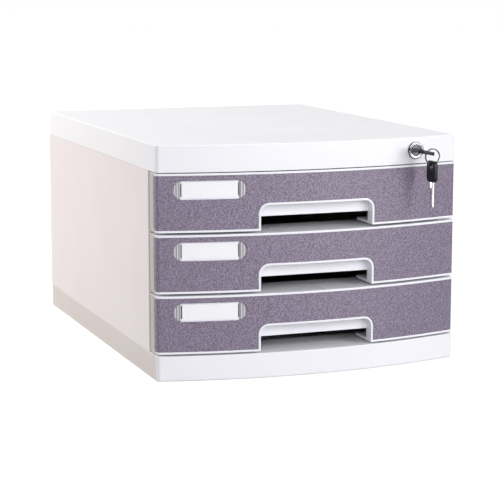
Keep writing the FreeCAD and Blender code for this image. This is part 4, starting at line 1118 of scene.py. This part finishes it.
@dataclass(frozen=True)
class ScrewSet:
    """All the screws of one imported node: domed heads with a cross recess on plain shanks.

    The dome's points are shares of the head's radius and depths in millimetres.
    """

    node: str
    way: tuple[float, float, float]
    head_radius: float = 2.8 * MM
    head_height: float = 1.8 * MM
    dome: Points = ((0.0, 0.0), (0.45, 0.08), (0.8, 0.42), (0.97, 0.95))
    head_edge: float = 0.1 * MM
    shank_radius: float = 1.5 * MM
    tip_share: float = 0.6
    tip_length: float = 0.4 * MM
    arm_width: float = 0.76 * MM
    arm_share: float = 0.62
    cross_depth: float = 0.9 * MM
    cut_level: float = 0.5 * MM
    cross_level: float = 0.7 * MM
    facets: int = 20

    def build(self) -> Object:
        """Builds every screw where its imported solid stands.

        Returns:
            The piece that stands for the node.
        """
        shape = bmesh.new()
        way = Vector(self.way)
        for low, high in self.solids():
            middle = (low + high) / 2
            reach = abs((high - low).dot(way))
            count = len(shape.verts)
            self.add_screw(shape, reach)
            turn = Vector((0.0, -1.0, 0.0)).rotation_difference(way).to_matrix().to_4x4()
            place = Matrix.Translation(middle + way * (reach / 2)) @ turn
            bmesh.ops.transform(shape, matrix=place, verts=shape.verts[count:])
        name = f"{self.node}_cross_head"
        return finish_piece(shape, name, ["zinc_steel"], body_of(self.node), [self.node])

    def solids(self) -> list[tuple[Vector, Vector]]:
        """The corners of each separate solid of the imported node.

        Returns:
            The lowest and highest corner of each, in order along X, Y and Z.
        """
        source = bmesh.new()
        source.from_mesh(NODES[self.node].data)
        bmesh.ops.remove_doubles(source, verts=source.verts, dist=WELD)
        left = set(source.verts)
        found = []
        while left:
            group = {left.pop()}
            front = set(group)
            while front:
                front = {edge.other_vert(vert) for vert in front for edge in vert.link_edges} - group
                group |= front
            left -= group
            places = [vert.co for vert in group]
            low = Vector([min(place[axis] for place in places) for axis in range(3)])
            high = Vector([max(place[axis] for place in places) for axis in range(3)])
            found.append((low, high))
        source.free()
        return sorted(found, key=lambda pair: tuple(round(value, 5) for value in pair[0]))

    def add_screw(self, shape: BMesh, reach: float) -> None:
        """One screw whose head's top lies at the origin, with its shank along +Y.

        Args:
            shape: the shape that the screw is added to.
            reach: its whole length.
        """
        r, h, shank = self.head_radius, self.head_height, self.shank_radius
        single = bmesh.new()
        profile = [
            *((r * share, depth * MM) for share, depth in self.dome), (r, h - self.head_edge),
            (r - self.head_edge, h), (shank, h), (shank, reach - self.tip_length),
            (shank * self.tip_share, reach), (0.0, reach),
        ]
        lathe(single, profile, self.facets)
        arm, bar = self.arm_width / 2, r * self.arm_share
        top = [face for face in single.faces if face.calc_center_median().y < self.cut_level]
        top = cut_across(single, top, 0, (-bar, -arm, arm, bar))
        top = cut_across(single, top, 2, (-bar, -arm, arm, bar))
        cross = []
        for face in top:
            spot = face.calc_center_median()
            across, up = abs(spot.x), abs(spot.z)
            if min(across, up) < arm and max(across, up) < bar and spot.y < self.cross_level:
                cross.append(face)
        bmesh.ops.inset_region(single, faces=cross, thickness=0.0, depth=-self.cross_depth)
        flat = bpy.data.meshes.new("screw")
        single.to_mesh(flat)
        single.free()
        shape.from_mesh(flat)
        bpy.data.meshes.remove(flat)


SHELLS = (
    MouldedShell("top_cover", "cool_white_plastic", "shell"),
    # The base's side faces take the darker finish of painted shade.
    MouldedShell("base", "cool_white_plastic", "shell", end_finish="base_side_painted_shade"),
    *(
        # The fronts' outer side faces take the dark finish of painted shade.
        MouldedShell(f"{level}_drawer_front", "rim_white_plastic", "front", end_finish="front_end_painted_shade")
        for level in LEVELS
    ),
    *(MouldedShell(f"{level}_drawer_facing", "grained_facing", "facing") for level in LEVELS),
)
SCREWS = (
    ScrewSet("cover_screws", (0.0, 0.0, -1.0)),
    ScrewSet("base_screws", (0.0, 0.0, -1.0)),
    ScrewSet("back_screws", (0.0, 1.0, 0.0)),
    ScrewSet("cam_screw", (0.0, 1.0, 0.0), head_radius=3.2 * MM),
    *(ScrewSet(f"{level}_drawer_front_screws", (0.0, 1.0, 0.0)) for level in LEVELS),
)
LOCK_SEAT = axis_place("lock_turn")
RING_MIDDLE = axis_place("spare_key_turn")
# From the ring's middle down to the middle of the hanging key's hole.
RING_REACH = 9.7 * MM
KEY_TURN = Matrix.Rotation(math.radians(12.0), 4, "Y")
# The spare key hangs with its blade down and its flat sides facing left and right.
HANGING_TURN = Matrix.Rotation(-math.pi / 2, 4, "X") @ Matrix.Rotation(math.pi / 2, 4, "Y")
KEYS = (
    Key("key", "key", Vector((LOCK_SEAT.x, RING_MIDDLE.y, LOCK_SEAT.z)), KEY_TURN),
    Key("spare_key", "spare_key", RING_MIDDLE - Vector((0.0, 0.0, RING_REACH)), HANGING_TURN),
)


@dataclass(frozen=True)
class Lamp:
    """A soft rectangular lamp that is turned to the object."""

    name: str
    place: tuple[float, float, float]
    size: tuple[float, float]
    power: float
    colour: Colour
    aim: tuple[float, float, float] = (0.0, 0.0, 0.1)

    def build(self) -> None:
        """Adds the lamp to the scene."""
        data = bpy.data.lights.new(f"{self.name}_lamp", "AREA")
        data.shape = "RECTANGLE"
        data.size, data.size_y = self.size
        data.energy = self.power
        data.color = self.colour
        lamp = bpy.data.objects.new(f"{self.name}_lamp", data)
        lamp.location = self.place
        way = Vector(self.aim) - Vector(self.place)
        lamp.rotation_euler = way.to_track_quat("-Z", "Y").to_euler()
        bpy.context.scene.collection.objects.link(lamp)


COOL, WARM, WHITE = (0.98, 0.98, 1.0), (1.0, 0.96, 0.92), (1.0, 1.0, 1.0)
LAMPS = (
    Lamp("key", (1.45, -2.0, 1.35), (0.8, 0.8), 18.0, COOL),
    Lamp("sheen", (1.15, -2.3, 0.4), (0.9, 0.7), 15.5, COOL),
    Lamp("front", (-0.6, -2.35, 1.05), (2.2, 1.0), 18.5, COOL),
    Lamp("left", (-1.05, 0.68, 0.68), (0.8, 0.8), 12.0, WARM),
    Lamp("top", (-0.2, 0.4, 2.3), (2.6, 2.6), 5.0, WHITE),
)


@dataclass(frozen=True)
class Studio:
    """The floor, the soft lamps, the white surroundings and the camera at the photograph's angle."""

    floor_size: float = 14.0
    floor_tones: tuple[Colour, Colour] = ((0.24, 0.24, 0.24), (0.26, 0.26, 0.26))
    floor_roughness: float = 0.8
    floor_mirrored: float = 0.6
    floor_glow: tuple[float, float] = (0.8, 0.95)
    glow_reach: tuple[float, float] = (0.3, 1.6)
    world_soft: float = 0.5
    world_mirrored: float = 0.9
    lens: float = 123.8
    sensor_width: float = 36.0
    camera_place: tuple[float, float, float] = (-0.60696, -1.64657, 0.37407)
    yaw: float = 20.52
    pitch: float = 9.35
    roll: float = -0.06

    def build(self) -> None:
        """Makes the whole studio."""
        self.make_floor()
        self.make_world()
        for lamp in LAMPS:
            lamp.build()
        self.make_camera()
        bpy.context.scene.view_settings.view_transform = "Standard"

    def make_floor(self) -> None:
        """A wide pale floor that looks white but keeps the object's shadow."""
        shape = bmesh.new()
        bmesh.ops.create_grid(shape, x_segments=8, y_segments=8, size=self.floor_size / 2)
        mesh = bpy.data.meshes.new("studio_floor")
        shape.to_mesh(mesh)
        shape.free()
        floor = bpy.data.objects.new("studio_floor", mesh)
        bpy.context.scene.collection.objects.link(floor)
        material = bpy.data.materials.new("studio_floor")
        material.use_nodes = True
        tree = Tree(material.node_tree)
        shader = material.node_tree.nodes["Principled BSDF"]
        place = tree.add("ShaderNodeTexCoord").outputs["Object"]
        cloud = tree.noise(place, 3.0, 2.0)
        seen, glossy = tree.rays()
        share = tree.math("MAXIMUM", seen, tree.math("MULTIPLY", glossy, self.floor_mirrored))
        away = tree.add("ShaderNodeVectorMath", {0: place}, operation="LENGTH").outputs["Value"]
        glow = tree.spread(away, *self.glow_reach, *self.floor_glow)
        tree.fill(shader, {
            "Base Color": tree.blend(cloud, *self.floor_tones),
            "Roughness": self.floor_roughness,
            "Emission Color": (*WHITE, 1.0),
            "Emission Strength": tree.math("MULTIPLY", share, glow),
        })
        dress(floor, "studio_floor")

    def make_world(self) -> None:
        """White where it is seen, and a soft even light elsewhere."""
        world = bpy.data.worlds.new("studio")
        world.use_nodes = True
        bpy.context.scene.world = world
        tree = Tree(world.node_tree)
        world.node_tree.nodes.clear()
        seen, glossy = tree.rays()
        dim = tree.spread(glossy, 0.0, 1.0, self.world_soft, self.world_mirrored)
        strength = tree.math("MAXIMUM", seen, dim)
        light = tree.add("ShaderNodeBackground", {"Color": (*WHITE, 1.0), "Strength": strength})
        tree.add("ShaderNodeOutputWorld", {"Surface": light.outputs[0]})

    def make_camera(self) -> None:
        """The camera that was fitted to the photograph's corners."""
        data = bpy.data.cameras.new("photo_camera")
        data.sensor_width = self.sensor_width
        data.lens = self.lens
        camera = bpy.data.objects.new("photo_camera", data)
        camera.location = self.camera_place
        tilt = math.radians(90.0 - self.pitch)
        camera.rotation_euler = (tilt, math.radians(self.roll), math.radians(-self.yaw))
        bpy.context.scene.collection.objects.link(camera)
        bpy.context.scene.camera = camera


def main() -> None:
    """Builds the finishes, dresses every node, adds the fine pieces and sets up the studio."""
    logging.basicConfig(level=logging.INFO, format="%(name)s: %(message)s")
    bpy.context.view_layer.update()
    for make in (moulded_skin, pebbled_grain, worn_and_lit_edges, fine_scratches):
        LOG.info("node group %s", make().name)
    for finish in FINISHES:
        LOG.info("finish %s", finish.build().name)
    for name, node in NODES.items():
        dress(node, finish_of(name))
        LOG.info("dressed %s", name)
    for shell in SHELLS:
        shell.build()
    for level in LEVELS:
        LabelHolder(level).build()
    CamLock().build()
    for key in KEYS:
        key.build()
    SplitRing().build()
    for screws in SCREWS:
        screws.build()
    Studio().build()


if __name__ == "__main__":
    main()
